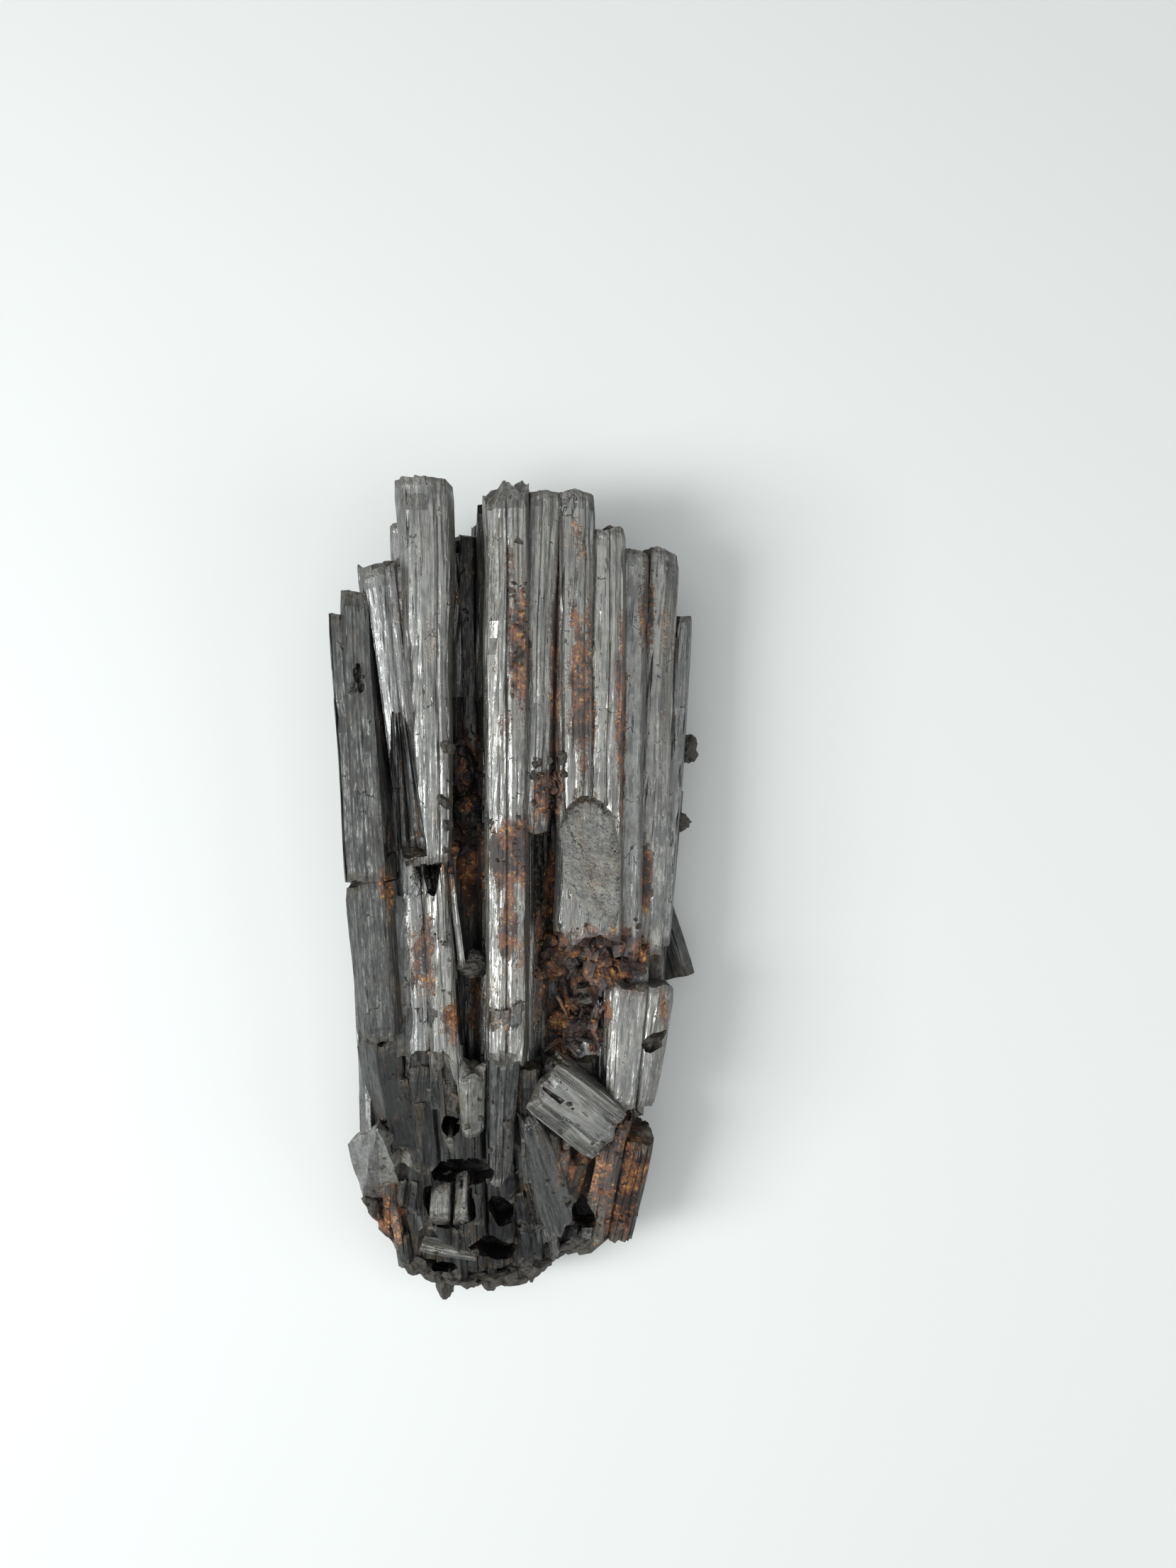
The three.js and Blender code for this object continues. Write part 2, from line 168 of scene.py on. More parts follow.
# The crust round the broken foot: a chain of lumps.
rim = {
    "path": [(-7.1, -14.9), (-6.8, -15.9), (-6.4, -16.9), (-5.8, -17.8), (-5.0, -18.5), (-4.1, -19.1), (-3.1, -19.4),
             (-2.1, -19.45), (-1.1, -19.3), (-0.1, -19.0), (0.9, -18.65), (1.9, -18.2), (2.8, -17.7), (3.6, -17.3)],
    "heights": (3.2, 2.0, 0.9),
    "half": (1.0, 0.5, 0.85),
    "roughness": 0.32,
    "seed": 21,
}

innerCrystals = {
    "innerLeft": ((-5.4, -13.2, 3.9), (-5.8, 13.0, 4.3), (3.6, 4.4), (4.8, 4.8), 0),
    "innerMiddle": ((-0.4, -11.6, 4.0), (0.0, 15.6, 4.2), (3.0, 3.0), (5.0, 5.0), 0),
    "innerRight": ((4.2, -11.0, 3.1), (4.6, 14.2, 3.5), (3.8, 4.2), (4.8, 4.6), 0),
    # The floors of the grooves are dark: painted shade in the grooves.
    "grooveFloor": ((-2.3, -12.8, 3.1), (-2.4, 15.6, 3.1), (3.0, 3.0), (4.2, 4.2), 0, {"tone": -0.7}),
    "secondFloor": ((1.6, -9.6, 3.4), (1.7, 15.2, 3.6), (2.6, 2.6), (4.4, 4.2), 0, {"tone": -0.7}),
    "rootHeart": ((-0.6, -16.6, 2.2), (-0.6, -6.4, 2.6), (9.0, 10.0), (2.6, 3.4), 0),
    "fillLeft": ((-6.6, 0.6, 6.6), (-7.4, 11.6, 6.6), (1.4, 1.6), (3.2, 3.0), 0, {"tone": 0.1}),
    "fillWedge": ((-5.0, 0.6, 6.6), (-5.2, 15.2, 6.9), (1.8, 1.8), (3.2, 3.0), 0, {"tone": 0.0}),
    "fillLowLeft": ((-4.9, -8.0, 6.2), (-5.0, 0.2, 6.6), (2.2, 1.8), (3.2, 3.2), 0, {"tone": 0.0}),
    "fillColumn": ((0.6, 3.4, 6.4), (0.6, 16.6, 6.5), (1.4, 1.4), (3.0, 3.0), 0, {"tone": 0.2}),
    "fillBrown": ((2.2, 6.6, 6.0), (2.2, 16.8, 6.1), (1.4, 1.4), (3.0, 3.0), 0, {"tone": 0.0}),
    "fillInner": ((3.6, 4.8, 6.2), (3.6, 15.0, 6.0), (1.4, 1.4), (2.6, 2.6), 0, {"tone": 0.0}),
    "fillOne": ((4.8, -2.4, 5.4), (5.0, 14.4, 5.3), (1.4, 1.4), (2.8, 2.6), 0, {"tone": 0.0}),
    "fillTwo": ((5.7, -2.4, 4.6), (6.2, 13.8, 4.4), (1.4, 1.4), (2.8, 2.6), 10, {"tone": 0.0}),
    "fillEdge": ((6.5, -2.2, 3.7), (7.3, 12.0, 3.5), (1.4, 1.4), (2.6, 2.6), 20, {"tone": 0.0}),
}

flutedSide = {"facet": 0.6, "facetStep": 0.3, "groove": 0.5, "square": 5, "ragged": 0.2}

backCrystals = {
    "backOne": ((-6.2, -16.5, 1.5), (-7.3, 12.3, 1.5), (2.8, 2.8), (3.3, 3.2), 8),
    "backTwo": ((-4.1, -18.9, 1.3), (-4.8, 16.4, 1.35), (3.0, 3.0), (3.0, 3.0), -6),
    "backThree": ((-1.2, -18.0, 1.3), (-0.8, 17.8, 1.4), (3.4, 2.9), (3.0, 3.0), 5),
    "backFour": ((1.7, -17.6, 1.3), (2.4, 17.2, 1.3), (3.0, 3.0), (3.0, 2.8), -8),
    "backFive": ((4.2, -12.5, 1.2), (5.5, 13.9, 1.2), (2.8, 3.0), (2.8, 2.6), 6),
}

# Short ends that fill the bundle below the tips: place across, height, tip and width.
endFoot = 9.0  # where they start
endCrystals = [
    (-7.1, 3.2, 11.9, 1.3), (-6.2, 4.9, 13.4, 1.6), (-5.4, 3.3, 15.0, 1.7), (-4.2, 5.6, 17.4, 1.8),
    (-4.0, 3.7, 16.6, 1.8), (-2.9, 4.6, 16.0, 1.2), (-2.6, 2.9, 17.0, 1.7), (-1.4, 4.2, 16.8, 1.3),
    (-0.6, 5.4, 17.6, 1.9), (-0.9, 3.0, 17.3, 1.8), (0.9, 5.2, 17.3, 1.7), (0.6, 3.4, 16.9, 1.7),
    (2.5, 5.0, 17.5, 1.9), (2.1, 3.2, 16.8, 1.8), (4.0, 4.7, 15.9, 1.7), (3.6, 3.0, 15.6, 1.7),
    (5.3, 3.7, 14.9, 1.6), (4.9, 2.3, 14.2, 1.6), (6.4, 3.0, 14.3, 1.5), (6.2, 1.9, 12.8, 1.4),
    (7.2, 2.2, 12.2, 1.2),
]

# Thin crystals along the two sides: foot, tip and width.
sideCrystals = [
    ((-6.8, -11.5, 4.2), (-7.8, 8.5, 4.4), 0.9),
    ((-7.2, -6.0, 5.3), (-7.9, 11.8, 5.3), 0.8),
    ((-7.5, -3.5, 2.6), (-8.1, 10.6, 2.9), 1.0),
    ((-6.4, -14.6, 3.0), (-7.4, 2.0, 3.3), 1.0),
    ((-6.8, -13.4, 1.6), (-7.8, 5.0, 1.9), 1.0),
    ((6.3, -10.2, 3.8), (6.9, -1.5, 3.9), 1.0),
    ((6.4, -8.6, 2.4), (7.6, 4.5, 2.6), 1.1),
    ((5.6, -12.0, 1.9), (6.9, 3.5, 1.6), 1.1),
    ((7.1, -1.0, 2.5), (7.9, 10.8, 2.4), 0.9),
    ((6.3, 0.6, 1.0), (7.2, 12.0, 1.3), 1.0),
]

# Nodules: middle and half sizes.
nodules = {
    "grooveNodule": ((-2.5, 5.6, 5.6), (0.6, 1.2, 1.2)),
    "grooveNoduleLow": ((-2.2, 3.6, 5.4), (0.8, 0.9, 1.2)),
    "bridge": ((1.5, 5.0, 6.9), (0.75, 0.8, 1.1)),
    "bridgeLow": ((1.7, 4.0, 6.4), (0.5, 0.6, 1.0)),
    "roundNub": ((-1.9, -3.5, 7.3), (0.9, 0.62, 0.8)),
    "rustRidgeOne": ((2.2, -3.5, 4.8), (1.3, 1.1, 1.8)),
    "rustRidgeTwo": ((4.1, -3.3, 4.6), (1.5, 1.2, 2.3)),
    "rustRidgeThree": ((5.5, -3.0, 4.2), (1.3, 1.3, 2.0)),
    "crumb": ((2.7, -6.6, 4.6), (1.5, 1.0, 1.7)),
    "rustCap": ((4.5, 16.6, 5.4), (0.5, 0.6, 0.9)),
    "bumpHigh": ((8.3, 6.6, 3.0), (0.6, 0.7, 0.7)),
    "bumpLow": ((7.7, 3.0, 3.0), (0.8, 0.6, 0.7)),
    "sideFill": ((6.0, -2.6, 2.8), (1.4, 2.2, 2.2)),
    "rootNub": ((-3.7, -19.8, 2.0), (0.5, 1.15, 1.0)),
}

# A lump with a point: the middle of its foot, its apex, and the width and depth of the foot.
pyramid = ((-6.55, -13.4, 4.1), (-6.1, -10.8, 8.6), (3.6, 4.6))

# Loose splinters: corners of the patch on the plan, count, lengths, widths, spread of direction, height and slope.
splinterFields = {
    "root": {"low": (-6.2, -18.3), "high": (3.0, -9.2), "count": 60, "length": (1.2, 3.6), "width": (0.4, 1.1),
             "yaw": 6, "top": 7.75, "slope": 0.35, "tone": (-0.9, 0.4), "seed": 12},
    "ridge": {"low": (1.3, -4.6), "high": (6.0, -2.2), "count": 42, "length": (0.5, 1.6), "width": (0.25, 0.7),
              "yaw": 60, "top": 7.3, "slope": 0.25, "tone": (-0.2, 0.6), "seed": 5},
    "nest": {"low": (1.5, -7.6), "high": (4.2, -5.0), "count": 34, "length": (0.5, 1.5), "width": (0.12, 0.35),
             "yaw": 55, "top": 6.5, "slope": 0.1, "tone": (-0.2, 0.8), "seed": 8},
}

# Pieces that are cut away, given as the crystals are. Their walls get a low tone unless they say otherwise: painted
# shade inside the hollows.
hollowStyle = {"tone": -0.6}
cuts = {
    "blueRecess": ((-4.7, 1.4, 8.9), (-5.15, 8.2, 9.6), (1.9, 0.8), (2.7, 2.2), 0, {"facet": 0.4}),
    "archCut": ((3.5, 0.4, 7.75), (3.55, 0.5, 9.6), (2.7, 2.9), (7.8, 8.0), 0,
     {"square": 2.5, "facet": 0.5, "tone": 0.95, "cap": 0.0, "ragged": 0.02}),
    "columnNotch": ((0.1, 15.9, 9.35), (1.0, 15.6, 9.35), (0.5, 0.4), (0.8, 0.8), 0),
    "windowOne": ((-3.15, -15.3, 3.8), (-3.15, -15.3, 9.0), (2.3, 2.3), (2.6, 2.6), 0),
    "shadowOne": ((-2.55, -13.6, 3.0), (-2.4, -13.4, 9.0), (2.9, 2.7), (1.8, 1.4), 0, {"square": 2.4}),
    "windowTwo": ((-0.75, -15.5, 3.2), (-0.7, -15.5, 9.0), (1.2, 1.2), (1.7, 1.7), 4),
    "shadowTwo": ((-1.2, -17.7, 2.2), (-1.1, -17.6, 8.0), (2.1, 2.2), (1.3, 1.4), -4),
    "shadowThree": ((-3.6, -18.75, 2.0), (-3.5, -18.6, 8.0), (1.3, 1.4), (0.7, 0.7), 6),
    "smallWindow": ((-2.95, -11.1, 4.6), (-2.95, -11.1, 9.0), (0.85, 0.85), (1.1, 1.1), 0),
    "blackHole": ((5.4, -10.9, 3.6), (5.5, -10.9, 9.0), (0.9, 0.95), (0.9, 0.95), 20, {"square": 2.4}),
    "stubPit": ((6.75, -7.2, 6.0), (6.7, -7.0, 8.6), (1.5, 1.7), (0.9, 1.1), 20, {"ragged": 0.4}),
    "hollow": ((3.3, -16.0, 2.2), (3.2, -16.0, 8.0), (1.0, 1.1), (1.9, 2.0), 10, {"square": 2.6}),
    "blockSlot": ((1.3, -9.15, 7.95), (2.3, -9.9, 7.95), (0.22, 0.4), (1.0, 1.0), 0),
    "shadowGroove": ((-2.05, -7.2, 7.4), (-2.1, -4.1, 7.2), (0.9, 1.2), (2.6, 2.2), 0),
    "leftNotch": ((-8.4, 0.15, 7.6), (-5.3, 0.5, 8.3), (0.3, 0.08), (4.0, 2.0), 0, {"ragged": 0.02}),
}

# What stands in the cut windows, given as the crystals are. Their high tones paint them light as lit walls: a painted
# highlight.
windowCrystals = {
    "panelLeft": ((-3.65, -16.4, 4.8), (-3.65, -14.2, 3.7), (1.1, 1.1), (1.2, 1.2), -6, {"facet": 1.2, "tone": 1.5}),
    "panelRight": ((-2.6, -16.4, 4.9), (-2.6, -14.2, 3.7), (1.0, 1.0), (1.2, 1.2), 8, {"facet": 1.2, "tone": 1.4}),
    "panelSmall": ((-3.05, -11.95, 6.9), (-3.0, -11.0, 4.8), (0.4, 0.4), (1.1, 1.1), 0, {"tone": 1.6}),
}

# Pits: middle and half sizes.
pits = {
    "edgePit": ((-7.0, 9.9, 8.9), (0.22, 0.5, 0.5)),
    "edgePitLow": ((-6.85, 9.3, 8.95), (0.2, 0.3, 0.45)),
    "roundPit": ((-5.7, -8.0, 8.5), (0.4, 0.28, 0.8)),
    "redRecess": ((-7.4, -15.7, 5.2), (0.9, 0.7, 1.4)),
    "endPit": ((8.0, -5.0, 2.2), (0.3, 0.4, 0.3)),
}

# Iron stain: middle, half sizes and strength of each patch.
stains = [
    ((-7.5, 7.6, 8.6), (0.3, 0.5, 1.0), 0.9),
    ((-3.7, 11.3, 9.0), (0.4, 1.2, 1.5), 0.6),
    ((-2.6, 13.0, 7.0), (0.5, 5.0, 2.0), 0.6),
    ((-2.4, 5.0, 6.0), (1.0, 2.6, 2.4), 1.2),
    ((-2.1, 1.0, 6.5), (1.6, 2.4, 2.8), 1.1),
    ((0.3, 11.0, 8.6), (0.6, 3.8, 1.6), 1.25),
    ((0.2, 15.0, 8.6), (0.6, 1.6, 1.6), 0.7),
    ((-0.2, 7.6, 9.0), (0.5, 1.2, 1.2), 0.8),
    ((0.0, 1.6, 8.6), (1.2, 2.4, 2.0), 1.2),
    ((0.0, -2.0, 9.0), (0.9, 3.4, 1.4), 0.85),
    ((1.9, 9.5, 6.6), (0.45, 7.5, 2.4), 1.1),
    ((3.1, 9.0, 7.6), (0.8, 6.5, 2.0), 1.0),
    ((2.9, 16.0, 8.0), (0.8, 2.0, 1.6), 0.5),
    ((1.6, 4.6, 7.2), (1.0, 1.6, 2.4), 1.2),
    ((1.5, -0.6, 6.0), (0.6, 3.0, 2.4), 0.6),
    ((3.6, 1.0, 8.0), (1.0, 2.0, 0.8), 0.6),
    ((4.95, 7.6, 7.0), (0.35, 6.0, 2.6), 1.1),
    ((6.1, 12.6, 6.0), (0.6, 3.6, 2.4), 0.85),
    ((7.2, 11.0, 4.8), (0.5, 3.4, 2.2), 0.75),
    ((6.2, 0.4, 6.0), (0.5, 2.4, 2.0), 1.1),
    ((3.8, -3.2, 6.4), (3.6, 1.9, 3.4), 1.3),
    ((1.2, -5.4, 6.6), (0.6, 2.4, 2.0), 0.9),
    ((-5.7, 0.0, 8.6), (0.45, 1.1, 1.2), 1.0),
    ((-4.1, -3.0, 8.4), (0.8, 2.2, 1.6), 1.0),
    ((-2.9, -6.0, 8.0), (0.6, 1.1, 1.8), 1.1),
    ((-1.9, -5.4, 6.4), (0.7, 2.2, 2.0), 0.8),
    ((-0.6, -5.0, 8.8), (0.8, 3.0, 1.4), 0.6),
    ((2.7, -6.6, 6.0), (1.9, 1.6, 2.4), 1.0),
    ((4.4, -5.7, 7.0), (0.45, 0.6, 1.2), 1.1),
    ((6.9, -5.7, 6.0), (0.4, 1.4, 1.6), 0.9),
    ((4.7, -14.0, 5.0), (1.9, 4.0, 3.0), 1.15),
    ((2.6, -13.0, 5.6), (1.2, 1.6, 2.4), 0.8),
    ((-6.3, -16.4, 4.4), (1.0, 2.4, 3.0), 1.1),
    ((4.5, 16.6, 5.6), (0.8, 0.9, 1.6), 1.3),
]


def smooth(value, low, high):
    share = np.clip((value - low) / (high - low), 0, 1)
    return share * share * (3 - 2 * share)


def softNoise(points, seed):  # value noise from -1 to 1 on an (n, 3) array
    cell = np.floor(points).astype(np.int64)
    part = points - cell
    part = part * part * (3 - 2 * part)
    total = np.zeros(len(points))
    for corner in range(8):
        step = np.array([corner & 1, corner >> 1 & 1, corner >> 2 & 1])
        at = cell + step
        mixed = at[:, 0] * 374761393 + at[:, 1] * 668265263 + at[:, 2] * 2147483647 + seed * 144665
        mixed = (mixed ^ (mixed >> 13)) * 1274126177 & 0x7FFFFFFF
        weight = np.prod(np.where(step, part, 1 - part), axis=1)
        total += weight * ((mixed ^ (mixed >> 16)) & 0xFFFF) / 32767.5
    return total - 1


def readPoints(mesh):
    flat = np.empty(len(mesh.vertices) * 3, dtype=np.float32)
    mesh.vertices.foreach_get("co", flat)
    return flat.reshape(-1, 3).astype(float)


def treeOf(mesh, points):
    return BVHTree.FromPolygons([Vector(p) for p in points], [tuple(face.vertices) for face in mesh.polygons])


def writePoints(mesh, points):
    mesh.vertices.foreach_set("co", points.astype(np.float32).ravel())
    mesh.update()


def writeAttribute(mesh, name, values):  # kept on face corners, so that a boolean never blends two crystals
    kind, field = ("FLOAT", "value") if values.ndim == 1 else ("FLOAT_VECTOR", "vector")
    corners = np.empty(len(mesh.loops), dtype=np.int32)
    mesh.loops.foreach_get("vertex_index", corners)
    layer = mesh.attributes.get(name) or mesh.attributes.new(name, kind, "CORNER")
    layer.data.foreach_set(field, values[corners].astype(np.float32).ravel())


def finishPiece(piece, placed, grain, broken, tone):  # points in millimetres, then what the materials read
    placed[:, :2] += toMiddle
    writePoints(piece.data, placed * mm)
    grain = placed + grain if np.isscalar(grain) else grain
    for name, values in (("grain", grain), ("broken", broken), ("tone", tone)):
        writeAttribute(piece.data, name, np.full(len(placed), values) if np.isscalar(values) else values)
    return piece


def newObject(name, bm):
    bmesh.ops.recalc_face_normals(bm, faces=bm.faces[:])
    mesh = bpy.data.meshes.new(name)
    bm.to_mesh(mesh)
    bm.free()
    return bpy.data.objects.new(name, mesh)


def rawPrism(name, ribs, rings):
    bm = bmesh.new()
    bmesh.ops.create_circle(bm, cap_ends=True, segments=ribs, radius=1)
    out = bmesh.ops.extrude_face_region(bm, geom=bm.faces[:])
    lifted = [g for g in out["geom"] if isinstance(g, bmesh.types.BMVert)]
    bmesh.ops.translate(bm, verts=lifted, vec=(0, 0, 1))
    walls = [e for e in bm.edges if abs(e.verts[0].co.z - e.verts[1].co.z) > 0.5]
    bmesh.ops.subdivide_edges(bm, edges=walls, cuts=rings, use_grid_fill=True)
    for cap in [f for f in bm.faces if len(f.verts) > 6]:
        for ring in range(prismStyle["capRings"] - 1):
            bmesh.ops.inset_region(bm, faces=[cap], thickness=1 / prismStyle["capRings"])
    bmesh.ops.poke(bm, faces=[f for f in bm.faces if len(f.verts) > 6])
    return newObject(name, bm)


def faceTable(perimeter, width, rng, style):  # the corners round a prism and what each face does
    count = max(6, round(perimeter / style["facet"]))
    corners = (np.arange(count) + rng.uniform(-0.34, 0.34, count)) / count
    if "corners" in style:
        corners, count = np.array(style["corners"]), len(style["corners"])
    step = rng.uniform(0, 1, count) ** 1.5 * style["facetStep"]
    grooves = np.where(rng.uniform(0, 1, count) < 0.3, rng.uniform(0.3, 1, count), 0) * style["groove"]
    drop = rng.uniform(0, 1, count) ** 2 * style["ragged"] * 0.5 * width
    return corners, step, grooves, drop, rng.uniform(0.08, 0.92, count)


def outlinePoint(angle, width, depth, power):
    reach = (np.abs(np.cos(angle)) ** power + np.abs(np.sin(angle)) ** power) ** (-1 / power)
    return np.stack([0.5 * width * reach * np.cos(angle), 0.5 * depth * reach * np.sin(angle)], axis=1)


def shapeAcross(points, spec, rng, style, seed):  # each point's place across the prism
    foot, tip, widths, depths = [np.array(value) for value in spec[:4]]
    length = np.linalg.norm(tip - foot)
    share = points[:, 2]
    inner = np.minimum(np.hypot(points[:, 0], points[:, 1]), 1)
    width = (widths[0] + (widths[1] - widths[0]) * share) * style["swell"]
    depth = depths[0] + (depths[1] - depths[0]) * share
    corners, step, grooves, drop, ends = faceTable(3.6 * (widths[0] + depths[0]) / 2, widths[0], rng, style)
    place = (np.arctan2(points[:, 1], points[:, 0]) / (2 * math.pi) - corners[0]) % 1
    edges = np.append(corners - corners[0], 1)
    face = np.searchsorted(edges[:-1], place, side="right") - 1
    within = (place - edges[face]) / (edges[face + 1] - edges[face])
    low = outlinePoint((edges[face] + corners[0]) * 2 * math.pi, width, depth, style["square"])
    high = outlinePoint((edges[face + 1] + corners[0]) * 2 * math.pi, width, depth, style["square"])
    flat = low + (high - low) * within[:, None]
    side = high - low
    side = np.stack([side[:, 1], -side[:, 0]], axis=1) / np.maximum(np.linalg.norm(side, axis=1), 1e-6)[:, None]
    ribs = 4096
    rib = np.round(place * ribs).astype(int) % ribs
    lines = rng.uniform(-1, 1, (3, ribs))
    jagged = prismWear["stepJag"] / length * lines[0][np.round(place * 900).astype(int) % ribs]
    sunk = step[face] * np.where(share + jagged < ends[face], 1, prismWear["stepKept"])
    strength = style["line"] * rng.uniform(0.2, 1.5, len(step))[face]
    waves = np.sin(6.3 * (share * length / 5 + lines[2][rib]))
    sunk += strength * (0.5 * lines[0][rib] + 0.7 * lines[1][rib] * waves)
    faceWidth = np.linalg.norm(high - low, axis=1)
    fromCorner = np.minimum(within, 1 - within) * faceWidth
    sunk += grooves[face] * smooth(within * faceWidth, *prismWear["groove"])
    worn = 0.5 + 0.5 * softNoise(np.stack([place * 40, share * length * 1.3, place * 0 + 2], axis=1), seed + 3)
    wear = prismWear["cornerLeast"] + prismWear["cornerMost"] * smooth(worn, 0.55, 0.9)
    sunk += wear * smooth(fromCorner, prismWear["corner"], 0)
    around = np.concatenate([flat * 0.9, (share * length * 0.3)[:, None]], axis=1)
    sunk += prismWear["unevenness"] * softNoise(around + seed % 97, seed)
    chips = softNoise(around * [1.8, 1.8, 4] + 31, seed + 5)
    sunk += prismWear["chipDepth"] * smooth(chips, *prismWear["chips"])
    return (flat - side * sunk[:, None]) * inner[:, None], drop[face], share, inner, length


def shapePrism(prism, spec, seed, style):
    foot, tip = np.array(spec[0]), np.array(spec[1])
    rng = np.random.default_rng(seed)
    points = readPoints(prism.data)
    place, drop, share, inner, length = shapeAcross(points, spec, rng, style, seed)
    atEnd = (share > 0.999) | (share < 0.001)
    brink = atEnd & (inner > 0.99)
    place[brink] *= rng.uniform(*prismWear["brink"], (brink.sum(), 1))
    spin = math.radians(spec[4])
    across = place[:, 0] * math.cos(spin) - place[:, 1] * math.sin(spin)
    through = place[:, 0] * math.sin(spin) + place[:, 1] * math.cos(spin)
    coarse = softNoise(np.stack([across * 1.6, through * 1.6, share * 3 + seed % 53], axis=1), seed + 9)
    fine = softNoise(np.stack([across * 5, through * 5, share * 3 + seed % 71], axis=1), seed + 11)
    lean = rng.uniform(-prismWear["endSlope"], prismWear["endSlope"], 2)
    reach = min(prismWear["endReach"][0], prismWear["endReach"][1] / length)
    broken = drop * inner ** 8 + (0.85 * coarse + 0.15 * fine + 0.3) * style["ragged"] * spec[2][0]
    atTip = broken + (lean[0] - style["lean"][0]) * across + (lean[1] - style["lean"][1]) * through
    atTip = atTip + style["dome"] * inner ** 2
    atFoot = broken + lean[1] * across + lean[0] * through
    along = share * length - atTip * smooth(share, 1 - reach, 1) + atFoot * smooth(share, reach, 0)
    axis = (tip - foot) / length
    side = np.cross([0, 0, 1], axis) if abs(axis[2]) < 0.9 else np.array([1.0, 0, 0])
    side /= np.linalg.norm(side)
    up = np.cross(axis, side)
    bend = np.stack([along * 0.22, along * 0 + seed % 31, along * 0], axis=1)
    across = across + style["bend"] * softNoise(bend, seed + 21)
    through = through + style["bend"] * softNoise(bend + 9, seed + 22)
    placed = foot + across[:, None] * side + through[:, None] * up + along[:, None] * axis
    grain = np.stack([across, through, along], axis=1) + rng.uniform(0, 90, 3)
    return finishPiece(prism, placed, grain, np.where(atEnd, style["cap"], 0.0), style.get("tone", rng.uniform(0, 1)))


def seedOf(name):  # every piece has its own draws, so that a change to one leaves the others alone
    return sum(ord(letter) * (place + 3) for place, letter in enumerate(name))


def withStyle(spec, shared):  # what a prism says itself goes before what its group shares
    return (*spec[:5], {**shared, **(spec[5] if len(spec) > 5 else {})})


def makePrism(name, spec, coarse=1.0):  # a higher coarse gives fewer points
    foot, tip, widths, depths, _, style = withStyle(spec, prismStyle)
    length = (Vector(tip) - Vector(foot)).length
    perimeter = 3.6 * (max(widths) + max(depths)) / 2
    ribs = max(16, round(perimeter / style["ribSpacing"] / coarse))
    rings = max(3, round(length / style["ringSpacing"] / coarse))
    return shapePrism(rawPrism(name, ribs, rings), spec, seedOf(name), style)


def makeSplinters(name, field):  # short broken crystals that lie in a patch
    rng = np.random.default_rng(field["seed"])
    low, high = field["low"], field["high"]
    splinters = []
    for number in range(field["count"]):
        x, y = rng.uniform(low[0], high[0]), rng.uniform(low[1], high[1])
        if name == "root":
            y = max(y, low[1] + 0.45 * max(x, 0))
        top = field["top"] + (y - high[1]) * field["slope"] - 0.035 * (x - low[0] - 4.2) ** 2
        top = top + rng.uniform(-0.3, 0.2)
        length, width = rng.uniform(*field["length"]), rng.uniform(*field["width"])
        yaw = math.radians(rng.normal(0, field["yaw"]))
        way = np.array([math.sin(yaw), math.cos(yaw), field["slope"] + rng.uniform(-0.1, 0.1)]) * length / 2
        middle = np.array([x, y, top - width])
        turn = rng.uniform(0, 60)
        style = {"ragged": 0.5, "facet": 0.4, "tone": rng.uniform(*field["tone"])}
        spec = (tuple(middle - way), tuple(middle + way), (width, width * 0.9), (width * 2, width * 2), turn, style)
        splinters.append(makePrism(f"{name}Splinter{number}", spec, 1.8))
    return splinters


# Crumbs: the lowest and highest corner of a patch on the plan, how many, and their sizes.
crumbPatches = {
    "ridge": ((0.9, -4.9), (6.3, -1.4), 60, (0.05, 0.24)),
    "nest": ((1.3, -7.7), (4.3, -5.2), 50, (0.05, 0.20)),
    "groove": ((-3.1, 1.4), (-1.4, 7.2), 50, (0.10, 0.34)),
    "crossing": ((-3.2, -0.2), (-0.8, 3.6), 24, (0.06, 0.2)),
    "crest": ((-0.8, 1.0), (0.8, 3.6), 40, (0.04, 0.10)),
    "seam": ((-4.3, -6.1), (-2.8, -1.6), 16, (0.05, 0.14)),
    "columnSide": ((-0.2, 7.8), (0.8, 14.0), 40, (0.06, 0.16)),
    "second": ((0.9, 3.6), (2.4, 6.2), 30, (0.10, 0.28)),
    "edge": ((-7.3, 9.0), (-6.6, 10.3), 14, (0.06, 0.16)),
    "root": ((-6.4, -18.4), (3.0, -9.6), 60, (0.08, 0.22)),
    "lowRight": ((3.6, -16.8), (5.9, -10.9), 40, (0.08, 0.24)),
}


def makeCrumbs(specimen):
    points = readPoints(specimen.data)
    tree = treeOf(specimen.data, points)
    rng = np.random.default_rng(31)
    down = Vector((0, 0, -1))
    crumbs = []
    for name, (low, high, count, sizes) in crumbPatches.items():
        for number in range(count):
            x, y = rng.uniform(low[0], high[0]), rng.uniform(low[1], high[1])
            size = sizes[0] + (sizes[1] - sizes[0]) * rng.uniform() ** 2
            half = rng.uniform(0.6, 1.3, 3) * size
            turn = rng.uniform(0, 6.3)
            above = Vector(((x + toMiddle[0]) * mm, (y + toMiddle[1]) * mm, 15 * mm))
            hit = tree.ray_cast(above, down)[0]
            if hit is None or hit.z < 2 * mm:  # beside the specimen
                continue
            middle = (x, y, hit.z / mm + 0.1 * size)
            crumbs.append(makeLump(f"{name}{number}", middle, half, 1 if size < 0.2 else 2, 0.5, turn))
    return crumbs


